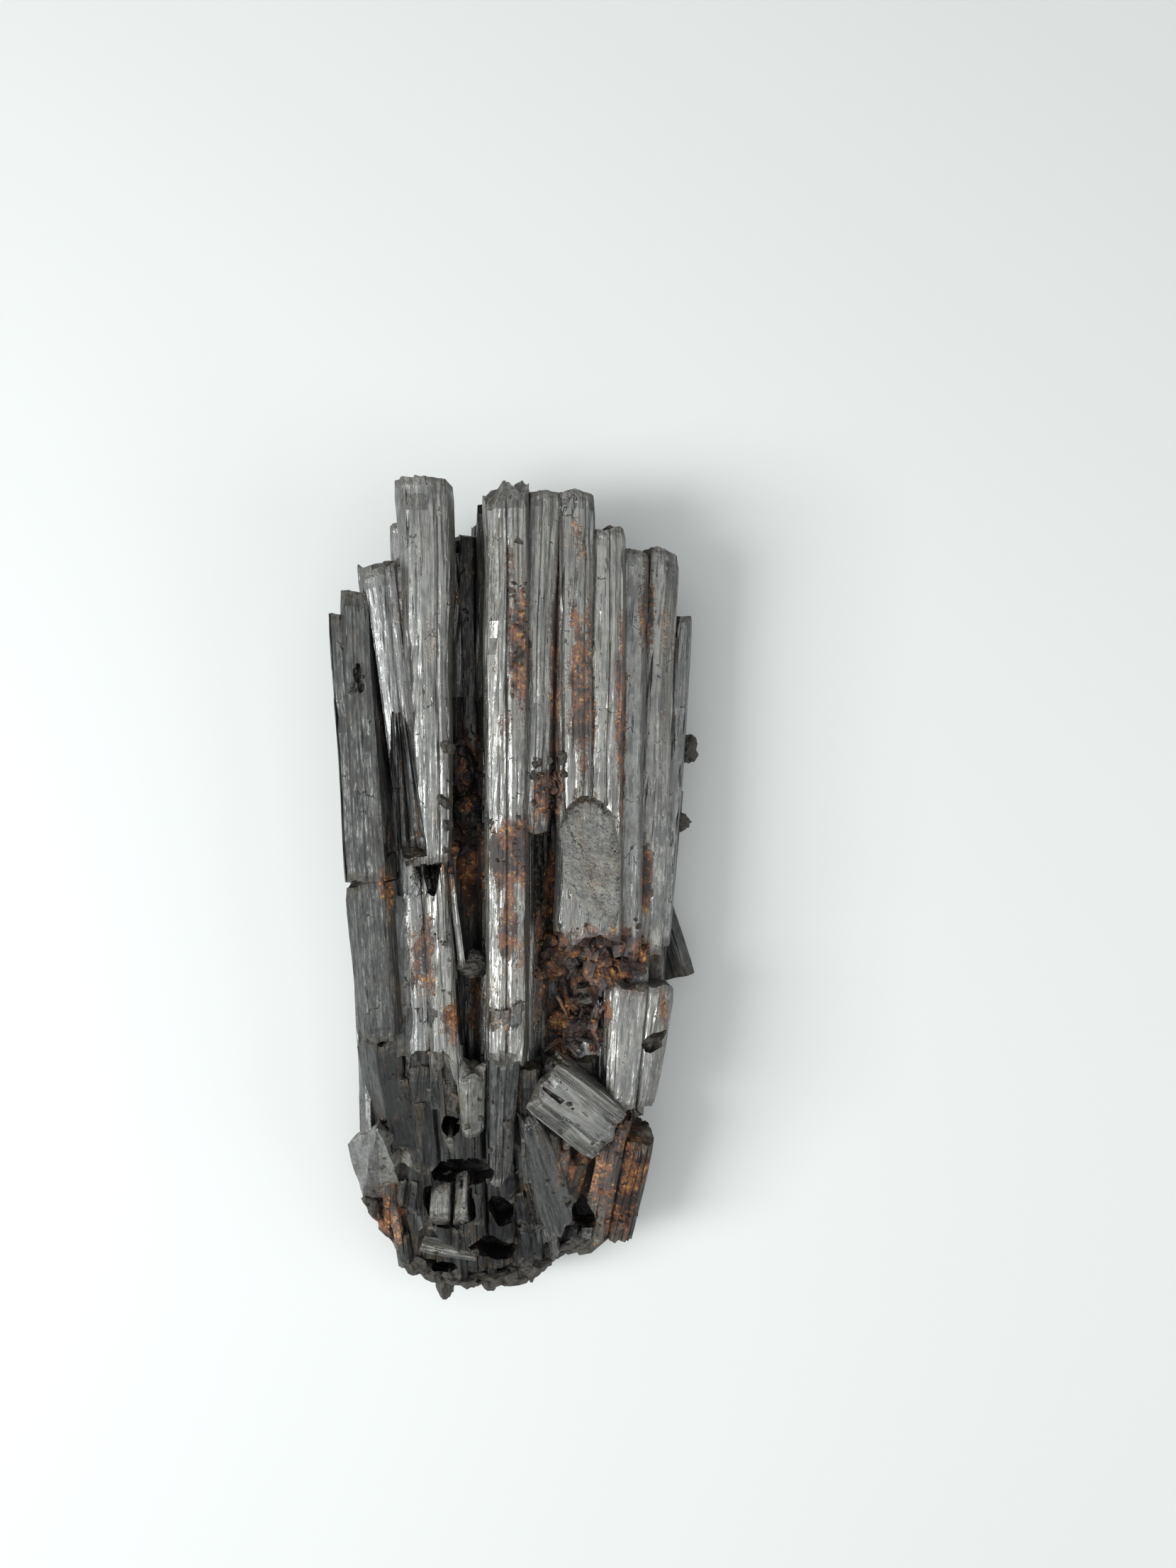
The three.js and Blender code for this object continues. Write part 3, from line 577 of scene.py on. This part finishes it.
def makePyramid(name):  # the face to the right has a high tone, a painted highlight; the one to the left is grainy
    foot, apex, footSize = pyramid
    bm = bmesh.new()
    bmesh.ops.create_cone(bm, cap_ends=True, segments=5, radius1=1, radius2=0.04, depth=1)
    bmesh.ops.subdivide_edges(bm, edges=bm.edges[:], cuts=7, use_grid_fill=True)
    bmesh.ops.triangulate(bm, faces=bm.faces[:])
    stone = newObject(name, bm)
    points = readPoints(stone.data)
    height = points[:, 2:] + 0.5
    placed = np.array(foot) + (np.array(apex) - foot) * height
    placed[:, :2] += points[:, :2] * np.array(footSize) / 2
    for depth, size, shifts in ((0.12, 1.3, (3, 5, 8)), (0.05, 5, (4, 6, 9))):
        placed += depth * np.stack([softNoise(placed * size + shift, shift) for shift in shifts], axis=1)
    right = points[:, 0] > 0.12 * points[:, 1]
    # The right face's tone of 1.6 is a painted highlight.
    return finishPiece(stone, placed, 3, np.where(right, 0.0, 0.45), np.where(right, 1.6, 0.5))


def makeLump(name, middle, half, detail=4, rough=0.22, turn=0.0):
    bm = bmesh.new()
    bmesh.ops.create_icosphere(bm, subdivisions=detail, radius=1)
    lump = newObject(name, bm)
    seed = seedOf(name)
    points = readPoints(lump.data)
    swell = 1 + rough * softNoise(points * 1.6 + seed % 41, seed) + rough * 0.5 * softNoise(points * 4.5, seed + 1)
    swell += rough * 0.3 * softNoise(points * 11, seed + 2)
    placed = points * (swell * 0.97)[:, None] * half @ np.array(Matrix.Rotation(turn, 3, "Z")) + middle
    return finishPiece(lump, placed, 7, 2.0, 0.4)


def makeRim():
    rng = np.random.default_rng(rim["seed"])
    ways = np.gradient(np.array(rim["path"]), axis=0)
    lumps = []
    for row, height in enumerate(rim["heights"]):
        for number, (x, y) in enumerate(rim["path"]):
            middle = np.array((x, y + 0.2 * row, height)) + rng.uniform(-0.25, 0.25, 3)
            half = np.array(rim["half"]) * rng.uniform(0.8, 1.3, 3)
            turn = -math.atan2(ways[number][1], ways[number][0]) + rng.uniform(-0.2, 0.2)
            lumps.append(makeLump(f"rim{row}{number}", middle, half, 3, rim["roughness"], turn))
    return lumps


def combine(base, others, operation):  # one clean boolean with a whole collection
    holder = bpy.data.collections.new("cutters")
    scene.collection.children.link(holder)
    for other in others:
        holder.objects.link(other)
    modifier = base.modifiers.new("combine", "BOOLEAN")
    modifier.operation = operation
    modifier.solver = "MANIFOLD"
    modifier.operand_type = "COLLECTION"
    modifier.collection = holder
    view = bpy.context.evaluated_depsgraph_get()
    mesh = bpy.data.meshes.new_from_object(base.evaluated_get(view))
    base.modifiers.clear()
    base.data = mesh
    for other in others:
        bpy.data.objects.remove(other)
    bpy.data.collections.remove(holder)


def makeSpecimen():
    first = makePrism("innerMiddle", innerCrystals["innerMiddle"], 2)
    scene.collection.objects.link(first)
    parts = []
    bundles = [(leftBundle, {}, 1), (middleBundle, {}, 1), (rightBundle, {}, 1), (shortCrystals, {}, 1),
               (rootCrystals, rootStyle, 1), (innerCrystals, flutedSide, 2.2), (backCrystals, flutedSide, 1.6)]
    for bundle, shared, coarse in bundles:
        for name, spec in bundle.items():
            if name != "innerMiddle":
                parts.append(makePrism(name, withStyle(spec, shared), coarse))
    for number, (x, height, tip, width) in enumerate(endCrystals):
        spec = ((x * 0.97, endFoot, height), (x, tip, height), (width, width), (width * 1.3, width * 1.3),
                37 * number % 60, {"facet": 0.7})
        parts.append(makePrism(f"end{number}", spec, 1.7))
    for number, (foot, tip, width) in enumerate(sideCrystals):
        spec = (foot, tip, (width, width), (width * 1.4, width * 1.4), 41 * number % 60,
                {"facet": 0.5, "ragged": 0.4, "tone": 0.1})
        parts.append(makePrism(f"side{number}", spec, 1.5))
    parts += [makeLump(name, *spec) for name, spec in nodules.items()]
    parts += [makePyramid("pyramid")]
    parts += makeRim()
    for name, field in splinterFields.items():
        parts += makeSplinters(name, field)
    print("crystals and lumps:", len(parts) + 1)
    combine(first, parts, "UNION")
    hollows = [makePrism(name, withStyle(spec, hollowStyle)) for name, spec in cuts.items()]
    hollows += [makeLump(name, *spec) for name, spec in pits.items()]
    combine(first, hollows, "DIFFERENCE")
    print("hollows cut:", len(hollows))
    combine(first, [makePrism(name, spec) for name, spec in windowCrystals.items()], "UNION")
    combine(first, makeCrumbs(first), "UNION")
    return first


def keepOneBody(bm):  # sealed hollows and loose flakes are dropped
    bodies, seen = [], set()
    for vert in bm.verts:
        if vert in seen:
            continue
        body, front = [], [vert]
        seen.add(vert)
        while front:
            body.append(front.pop())
            for edge in body[-1].link_edges:
                other = edge.other_vert(body[-1])
                if other not in seen:
                    seen.add(other)
                    front.append(other)
        bodies.append(body)
    bodies.sort(key=len)
    for body in bodies[:-1]:
        bmesh.ops.delete(bm, geom=body, context="VERTS")


def cutLevel(specimen):  # the resting face lies on the ground plane
    bm = bmesh.new()
    bm.from_mesh(specimen.data)
    bmesh.ops.bisect_plane(bm, geom=bm.verts[:] + bm.edges[:] + bm.faces[:], plane_co=(0, 0, 0), plane_no=(0, 0, -1),
                           clear_outer=True, dist=1e-7)
    bmesh.ops.holes_fill(bm, edges=[e for e in bm.edges if e.is_boundary])
    keepOneBody(bm)
    bm.to_mesh(specimen.data)
    print("specimen cut level, open edges:", sum(not e.is_manifold for e in bm.edges))
    bm.free()


# How sheltered a point is: the share of short rays from it that meet the specimen. The materials darken sheltered
# points as painted shade and gather iron stain there.
shelterRays = {"reach": 1.6 * mm, "count": 6, "lift": 0.02 * mm, "seed": 4}


def measureShelter(mesh):
    points = readPoints(mesh)
    tree = treeOf(mesh, points)
    rng = np.random.default_rng(shelterRays["seed"])
    spread = rng.normal(size=(shelterRays["count"], 3))
    spread /= np.linalg.norm(spread, axis=1)[:, None]
    shelter = np.zeros(len(points))
    for index, normal in enumerate(mesh.vertex_normals):
        out = normal.vector
        start = Vector(points[index]) + out * shelterRays["lift"]
        for ray in spread:
            way = out * 1.05 + Vector(ray)
            if tree.ray_cast(start, way.normalized(), shelterRays["reach"])[0] is not None:
                shelter[index] += 1
    return shelter / shelterRays["count"]


def measureStain(points):
    total = np.zeros(len(points))
    for middle, half, strength in stains:
        middle = np.array(middle) + (*toMiddle, 0)
        away = np.linalg.norm((points / mm - middle) / half, axis=1)
        total = np.maximum(total, strength * smooth(away, 1.35, 0.25))
    return total


specimen = makeSpecimen()
specimen.name = "schorlSpecimen"
cutLevel(specimen)
mesh = specimen.data
writeAttribute(mesh, "shelter", measureShelter(mesh))
writeAttribute(mesh, "stain", measureStain(readPoints(mesh)))
print("shelter and iron stain measured at", len(mesh.vertices), "points")


def newGroup(name, inputs, outputs):
    group = bpy.data.node_groups.new(name, "ShaderNodeTree")
    for label, kind, value in inputs:
        socket = group.interface.new_socket(label, in_out="INPUT", socket_type=kind)
        if value is not None:
            socket.default_value = value
    for label, kind in outputs:
        group.interface.new_socket(label, in_out="OUTPUT", socket_type=kind)
    return group, group.nodes.new("NodeGroupInput"), group.nodes.new("NodeGroupOutput")


def addNode(tree, kind, settings=None, **inputs):
    node = tree.nodes.new(kind)
    for key, value in (settings or {}).items():
        setattr(node, key, value)
    for key, value in inputs.items():
        byNumber = key[0] == "i" and key[1:].isdigit()  # i0 is the first input
        socket = node.inputs[int(key[1:]) if byNumber else key.replace("_", " ")]
        if isinstance(value, bpy.types.NodeSocket):
            tree.links.new(value, socket)
        else:
            socket.default_value = value
    return node


def sumOf(tree, operation, first, second):
    return addNode(tree, "ShaderNodeMath", {"operation": operation}, i0=first, i1=second).outputs[0]


def times(tree, first, second):
    return sumOf(tree, "MULTIPLY", first, second)


def addUp(tree, *parts):  # each part is a value and its weight
    total = times(tree, *parts[0])
    for part in parts[1:]:
        total = sumOf(tree, "ADD", total, times(tree, *part))
    return total


def rampOf(tree, value, low, high, start=0.0, end=1.0):
    node = addNode(tree, "ShaderNodeMapRange", {"interpolation_type": "SMOOTHSTEP"},
                   Value=value, From_Min=low, From_Max=high, To_Min=start, To_Max=end)
    return node.outputs[0]


def mixColour(tree, share, first, second):
    node = addNode(tree, "ShaderNodeMix", {"data_type": "RGBA"}, i0=share, i6=first, i7=second)
    return node.outputs[2]


def noiseOf(tree, vector, scale, detail=3.0, roughness=0.55):
    node = addNode(tree, "ShaderNodeTexNoise", None, Vector=vector, Scale=scale, Detail=detail, Roughness=roughness)
    return node.outputs[0]


def stretched(tree, vector, amounts):
    node = addNode(tree, "ShaderNodeMapping", None, Vector=vector, Scale=amounts)
    return node.outputs[0]


def closeGroup(tree, result, *values):  # the values are what the group gives out, in order
    for value, socket in zip(values, result.inputs):
        tree.links.new(value, socket)
    return tree


def flutingGroup():  # fine lines, flecks and cracks along each crystal
    outputs = [(label, "NodeSocketFloat") for label in ("Height", "Shade", "Cracks", "Wear")]
    tree, given, result = newGroup("flutingLines", [("Grain", "NodeSocketVector", None)], outputs)
    grain = given.outputs[0]
    fine = noiseOf(tree, stretched(tree, grain, (10, 10, 0.5)), 1.0, 3.0, 0.6)
    middle = noiseOf(tree, stretched(tree, grain, (4.5, 4.5, 0.4)), 1.0, 3.0, 0.6)
    broad = noiseOf(tree, stretched(tree, grain, (1.8, 1.8, 0.25)), 1.0, 2.0, 0.5)
    fleck = noiseOf(tree, stretched(tree, grain, (6, 6, 2.0)), 1.0, 4.0, 0.65)
    blotch = noiseOf(tree, stretched(tree, grain, (1.3, 1.3, 0.7)), 1.0, 6.0, 0.7)
    thin = noiseOf(tree, stretched(tree, grain, (7, 7, 0.6)), 1.0, 2.0, 0.5)
    wander = addNode(tree, "ShaderNodeTexNoise", None, Vector=stretched(tree, grain, (3, 3, 1.5)), Scale=1.0,
                     Detail=4.0)
    bent = addNode(tree, "ShaderNodeVectorMath", {"operation": "MULTIPLY_ADD"}, i0=wander.outputs["Color"],
                   i1=(0.5, 0.5, 1.1), i2=grain)
    cells = addNode(tree, "ShaderNodeTexVoronoi", {"feature": "DISTANCE_TO_EDGE"}, Scale=1.0,
                    Vector=stretched(tree, bent.outputs[0], (0.16, 0.16, 0.45))).outputs[0]
    cross = times(tree, rampOf(tree, cells, 0.010, 0.002), rampOf(tree, blotch, 0.53, 0.61))
    cracks = sumOf(tree, "MAXIMUM", rampOf(tree, thin, 0.33, 0.27), cross)
    height = addUp(tree, (broad, 0.6), (middle, 0.7), (fine, 0.5), (fleck, 0.35))
    relief = sumOf(tree, "SUBTRACT", height, cracks)
    lines = addUp(tree, (fine, 0.3), (middle, 0.4), (fleck, 0.3))
    worn = rampOf(tree, blotch, 0.36, 0.62, 0.25, 1.0)
    shade = times(tree, rampOf(tree, lines, 0.38, 0.62), worn)
    wear = rampOf(tree, sumOf(tree, "ADD", blotch, fleck), 0.85, 1.15)
    return closeGroup(tree, result, relief, shade, cracks, wear)


def grainGroup():  # crumbly texture of a fracture
    inputs = [("Vector", "NodeSocketVector", None), ("Scale", "NodeSocketFloat", 4000.0)]
    outputs = [("Height", "NodeSocketFloat"), ("Shade", "NodeSocketFloat")]
    tree, given, result = newGroup("brokenGrain", inputs, outputs)
    rough = noiseOf(tree, given.outputs[0], given.outputs[1], 5.0, 0.65)
    cells = addNode(tree, "ShaderNodeTexVoronoi", {"feature": "F1"}, Vector=given.outputs[0], Scale=given.outputs[1])
    height = sumOf(tree, "SUBTRACT", rough, times(tree, cells.outputs[0], 0.5))
    return closeGroup(tree, result, height, rampOf(tree, rough, 0.3, 0.7))


ironLook = {
    "deep": (0.017, 0.007, 0.005, 1),
    "rust": (0.128, 0.045, 0.017, 1),
    "pores": (0.008, 0.004, 0.003, 1),
    "flecks": (0.32, 0.17, 0.055, 1),
}


def stainGroup():  # iron crust that gathers in hollows
    inputs = [("Vector", "NodeSocketVector", None), ("Amount", "NodeSocketFloat", 0.0)]
    outputs = [("Mask", "NodeSocketFloat"), ("Colour", "NodeSocketColor"), ("Height", "NodeSocketFloat"),
               ("Film", "NodeSocketFloat")]
    tree, given, result = newGroup("ironStain", inputs, outputs)
    vector, amount = given.outputs[0], given.outputs[1]
    patches = noiseOf(tree, stretched(tree, vector, (1.3, 0.3, 1.3)), 1300.0, 6.0, 0.72)
    speck = noiseOf(tree, vector, 5200.0, 3.0, 0.6)
    level = sumOf(tree, "ADD", amount, times(tree, sumOf(tree, "SUBTRACT", patches, 0.5), 3.0))
    level = sumOf(tree, "ADD", level, times(tree, sumOf(tree, "SUBTRACT", speck, 0.5), 0.9))
    mask = rampOf(tree, level, 0.52, 0.92)
    hue = noiseOf(tree, vector, 900.0, 4.0, 0.6)
    pores = noiseOf(tree, vector, 2600.0, 4.0, 0.65)
    warm = mixColour(tree, rampOf(tree, hue, 0.42, 0.60), ironLook["deep"], ironLook["rust"])
    warm = mixColour(tree, rampOf(tree, pores, 0.47, 0.38), warm, ironLook["pores"])
    flecks = sumOf(tree, "ADD", speck, times(tree, hue, 0.6))
    warm = mixColour(tree, rampOf(tree, flecks, 0.88, 1.02), warm, ironLook["flecks"])
    film = rampOf(tree, level, 0.1, 0.7, 0.0, 0.6)
    return closeGroup(tree, result, mask, warm, sumOf(tree, "ADD", patches, speck), film)


groups = {"fluting": flutingGroup(), "grain": grainGroup(), "stain": stainGroup()}

schorlLook = {
    "dark": (0.010, 0.011, 0.012, 1),
    "grey": (0.090, 0.094, 0.089, 1),
    "warmGrey": (0.118, 0.112, 0.095, 1),
    # Near black for cracks, and for the painted shade in creases and hollows.
    "blackCracksAndShade": (0.004, 0.004, 0.005, 1),
    "film": (0.070, 0.048, 0.030, 1),
    "dustAndHighlight": (0.160, 0.160, 0.148, 1),
    "indexOfRefraction": 1.64,
    "specularLevel": 0.9,
    "roughness": (0.17, 0.48),
    "fluteBump": 0.07 * mm,
}

hollowLook = {
    "dark": (0.005, 0.005, 0.006, 1),
    "grey": (0.066, 0.069, 0.060, 1),
    "specularLevel": 0.35,
    "roughness": (0.3, 0.6),
}

crustLook = {
    "dark": (0.010, 0.008, 0.006, 1),
    "grey": (0.054, 0.047, 0.038, 1),
    "specularLevel": 0.35,
    "grainSize": 3600.0,
    "grainBump": 0.09 * mm,
}


def placeGroup(tree, name, **inputs):
    return addNode(tree, "ShaderNodeGroup", {"node_tree": groups[name]}, **inputs).outputs


def attributeOf(tree, name, output="Fac"):
    return addNode(tree, "ShaderNodeAttribute", {"attribute_name": name}).outputs[output]


def newMaterial(name, specularLevel):
    material = bpy.data.materials.new(name)
    material.use_nodes = True
    shader = material.node_tree.nodes["Principled BSDF"]
    shader.inputs["IOR"].default_value = schorlLook["indexOfRefraction"]
    shader.inputs["Specular IOR Level"].default_value = specularLevel
    return material, material.node_tree, shader


def finishMaterial(tree, shader, colour, roughness, lineHeight, grainHeight):
    tree.links.new(colour, shader.inputs["Base Color"])
    tree.links.new(roughness, shader.inputs["Roughness"])
    lines = addNode(tree, "ShaderNodeBump", None, Height=lineHeight, Distance=schorlLook["fluteBump"], Strength=0.7)
    grains = addNode(tree, "ShaderNodeBump", None, Height=grainHeight, Distance=crustLook["grainBump"],
                     Normal=lines.outputs[0])
    tree.links.new(grains.outputs[0], shader.inputs["Normal"])


def crystalMaterial(name, look):
    material, tree, shader = newMaterial(name, look["specularLevel"])
    place = addNode(tree, "ShaderNodeTexCoord").outputs["Object"]
    broken = rampOf(tree, attributeOf(tree, "broken"), 0.2, 0.8)
    shelter = attributeOf(tree, "shelter")
    tone = attributeOf(tree, "tone")
    lines = placeGroup(tree, "fluting", Grain=attributeOf(tree, "grain", "Vector"))
    crumbs = placeGroup(tree, "grain", Vector=place, Scale=crustLook["grainSize"])
    amount = sumOf(tree, "ADD", attributeOf(tree, "stain"), times(tree, shelter, 0.42))
    iron = placeGroup(tree, "stain", Vector=place, Amount=amount)
    grey = mixColour(tree, rampOf(tree, tone, 0.4, 1.0), look["grey"], look.get("warmGrey", look["grey"]))
    shade = times(tree, lines["Shade"], rampOf(tree, tone, -0.8, 1.4, 0.0, 1.9))
    face = mixColour(tree, shade, look["dark"], grey)
    # High tones blend in a lighter dusty grey: dust, and a painted highlight on the pyramid's right face and the
    # window panels.
    powder = rampOf(tree, noiseOf(tree, place, 2400.0, 5.0, 0.7), 0.35, 0.65)
    dustAndHighlight = times(tree, rampOf(tree, tone, 0.9, 1.3, 0.0, 0.8), powder)
    face = mixColour(tree, dustAndHighlight, face, look.get("dustAndHighlight", look["grey"]))
    fracture = mixColour(tree, crumbs["Shade"], crustLook["dark"], crustLook["grey"])
    colour = mixColour(tree, broken, face, fracture)
    colour = mixColour(tree, iron["Film"], colour, schorlLook["film"])
    colour = mixColour(tree, lines["Cracks"], colour, schorlLook["blackCracksAndShade"])
    # Sheltered points are darkened towards black: painted shade in creases and hollows.
    colour = mixColour(tree, rampOf(tree, shelter, 0.25, 0.75, 0.0, 0.97), colour, schorlLook["blackCracksAndShade"])
    colour = mixColour(tree, iron["Mask"], colour, iron["Colour"])
    polished, matt = look["roughness"]
    gloss = rampOf(tree, lines["Wear"], 0.0, 1.0, matt, polished)
    gloss = sumOf(tree, "MAXIMUM", gloss, times(tree, sumOf(tree, "MAXIMUM", broken, dustAndHighlight), 0.55))
    gloss = sumOf(tree, "MAXIMUM", gloss, times(tree, iron["Mask"], 0.85))
    relief = times(tree, crumbs["Height"], sumOf(tree, "MAXIMUM", broken, iron["Mask"]))
    finishMaterial(tree, shader, colour, gloss, lines["Height"], relief)
    return material


def crustMaterial():
    material, tree, shader = newMaterial("ironCrust", crustLook["specularLevel"])
    place = addNode(tree, "ShaderNodeTexCoord").outputs["Object"]
    shelter = attributeOf(tree, "shelter")
    crumbs = placeGroup(tree, "grain", Vector=place, Scale=crustLook["grainSize"])
    amount = sumOf(tree, "ADD", times(tree, attributeOf(tree, "stain"), 1.1), 0.1)
    iron = placeGroup(tree, "stain", Vector=place, Amount=amount)
    colour = mixColour(tree, crumbs["Shade"], crustLook["dark"], crustLook["grey"])
    colour = mixColour(tree, iron["Mask"], colour, iron["Colour"])
    # Sheltered points are darkened towards black: painted shade in the crust's crevices.
    colour = mixColour(tree, rampOf(tree, shelter, 0.2, 0.75, 0.0, 0.93), colour, schorlLook["blackCracksAndShade"])
    rough = rampOf(tree, crumbs["Shade"], 0.0, 1.0, 0.5, 0.8)
    finishMaterial(tree, shader, colour, rough, iron["Height"], crumbs["Height"])
    return material


darkTone = 0.2  # crystals with a tone below this are dull and dark, which also paints the shade in grooves, hollows and at the foot


def dressSpecimen(mesh):  # clean faces, dark faces that carry the painted shade of hollows and grooves, and lumps each have their own material
    mesh.materials.append(crystalMaterial("schorlCrystal", schorlLook))
    mesh.materials.append(crystalMaterial("schorlHollow", hollowLook))
    mesh.materials.append(crustMaterial())
    values = {}
    for name in ("tone", "broken"):
        values[name] = np.empty(len(mesh.loops), dtype=np.float32)
        mesh.attributes[name].data.foreach_get("value", values[name])
    first = np.empty(len(mesh.polygons), dtype=np.int32)
    mesh.polygons.foreach_get("loop_start", first)
    kind = np.where(values["tone"][first] < darkTone, 1, 0)
    kind = np.where(values["broken"][first] > 1.5, 2, kind)
    mesh.polygons.foreach_set("material_index", kind.astype(np.int32))


mesh.materials.clear()
dressSpecimen(mesh)
print("materials:", [material.name for material in mesh.materials])
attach(specimen, "root")
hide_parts("schorl_crystal")

floorLook = {"size": 4.0, "colour": (0.54, 0.55, 0.55, 1), "roughness": 0.6}


def makeFloor():
    bm = bmesh.new()
    bmesh.ops.create_grid(bm, x_segments=1, y_segments=1, size=floorLook["size"] / 2)
    floor = newObject("floor", bm)
    material = bpy.data.materials.new("paleFloor")
    material.use_nodes = True
    shader = material.node_tree.nodes["Principled BSDF"]
    shader.inputs["Base Color"].default_value = floorLook["colour"]
    shader.inputs["Roughness"].default_value = floorLook["roughness"]
    floor.data.materials.append(material)
    scene.collection.objects.link(floor)


lights = {
    "windowLight": {"at": (-0.15, -0.02, 0.15), "size": (0.055, 0.13), "watts": 0.50},
    "overheadLight": {"at": (-0.02, -0.01, 0.20), "size": (0.26, 0.30), "watts": 0.42},
    "sideLight": {"at": (0.15, -0.04, 0.10), "size": (0.10, 0.12), "watts": 0.12},
}
lampColour = (0.97, 1.0, 0.985)
skyLook = {"colour": (0.93, 0.96, 1.0, 1), "strength": 0.13}


def makeLights():
    for name, look in lights.items():
        data = bpy.data.lights.new(name, "AREA")
        data.shape = "RECTANGLE"
        data.size, data.size_y = look["size"]
        data.energy = look["watts"]
        data.color = lampColour
        lamp = bpy.data.objects.new(name, data)
        lamp.location = look["at"]
        lamp.rotation_mode = "QUATERNION"
        lamp.rotation_quaternion = Vector((-look["at"][0], 0, -look["at"][2])).to_track_quat("-Z", "Y")
        scene.collection.objects.link(lamp)
    world = bpy.data.worlds.new("studio")
    world.use_nodes = True
    world.node_tree.nodes["Background"].inputs[0].default_value = skyLook["colour"]
    world.node_tree.nodes["Background"].inputs[1].default_value = skyLook["strength"]
    scene.world = world
    scene.view_settings.view_transform = "Standard"


cameraLook = {"lens": 31.0, "at": (3.34, 5.83, 70.0)}


def makeCamera():
    data = bpy.data.cameras.new("camera")
    data.lens = cameraLook["lens"]
    data.clip_start = 0.001
    camera = bpy.data.objects.new("camera", data)
    camera.location = Vector(cameraLook["at"]) * mm
    scene.collection.objects.link(camera)
    scene.camera = camera


makeFloor()
makeLights()
makeCamera()
print("floor, lights and camera are in place")
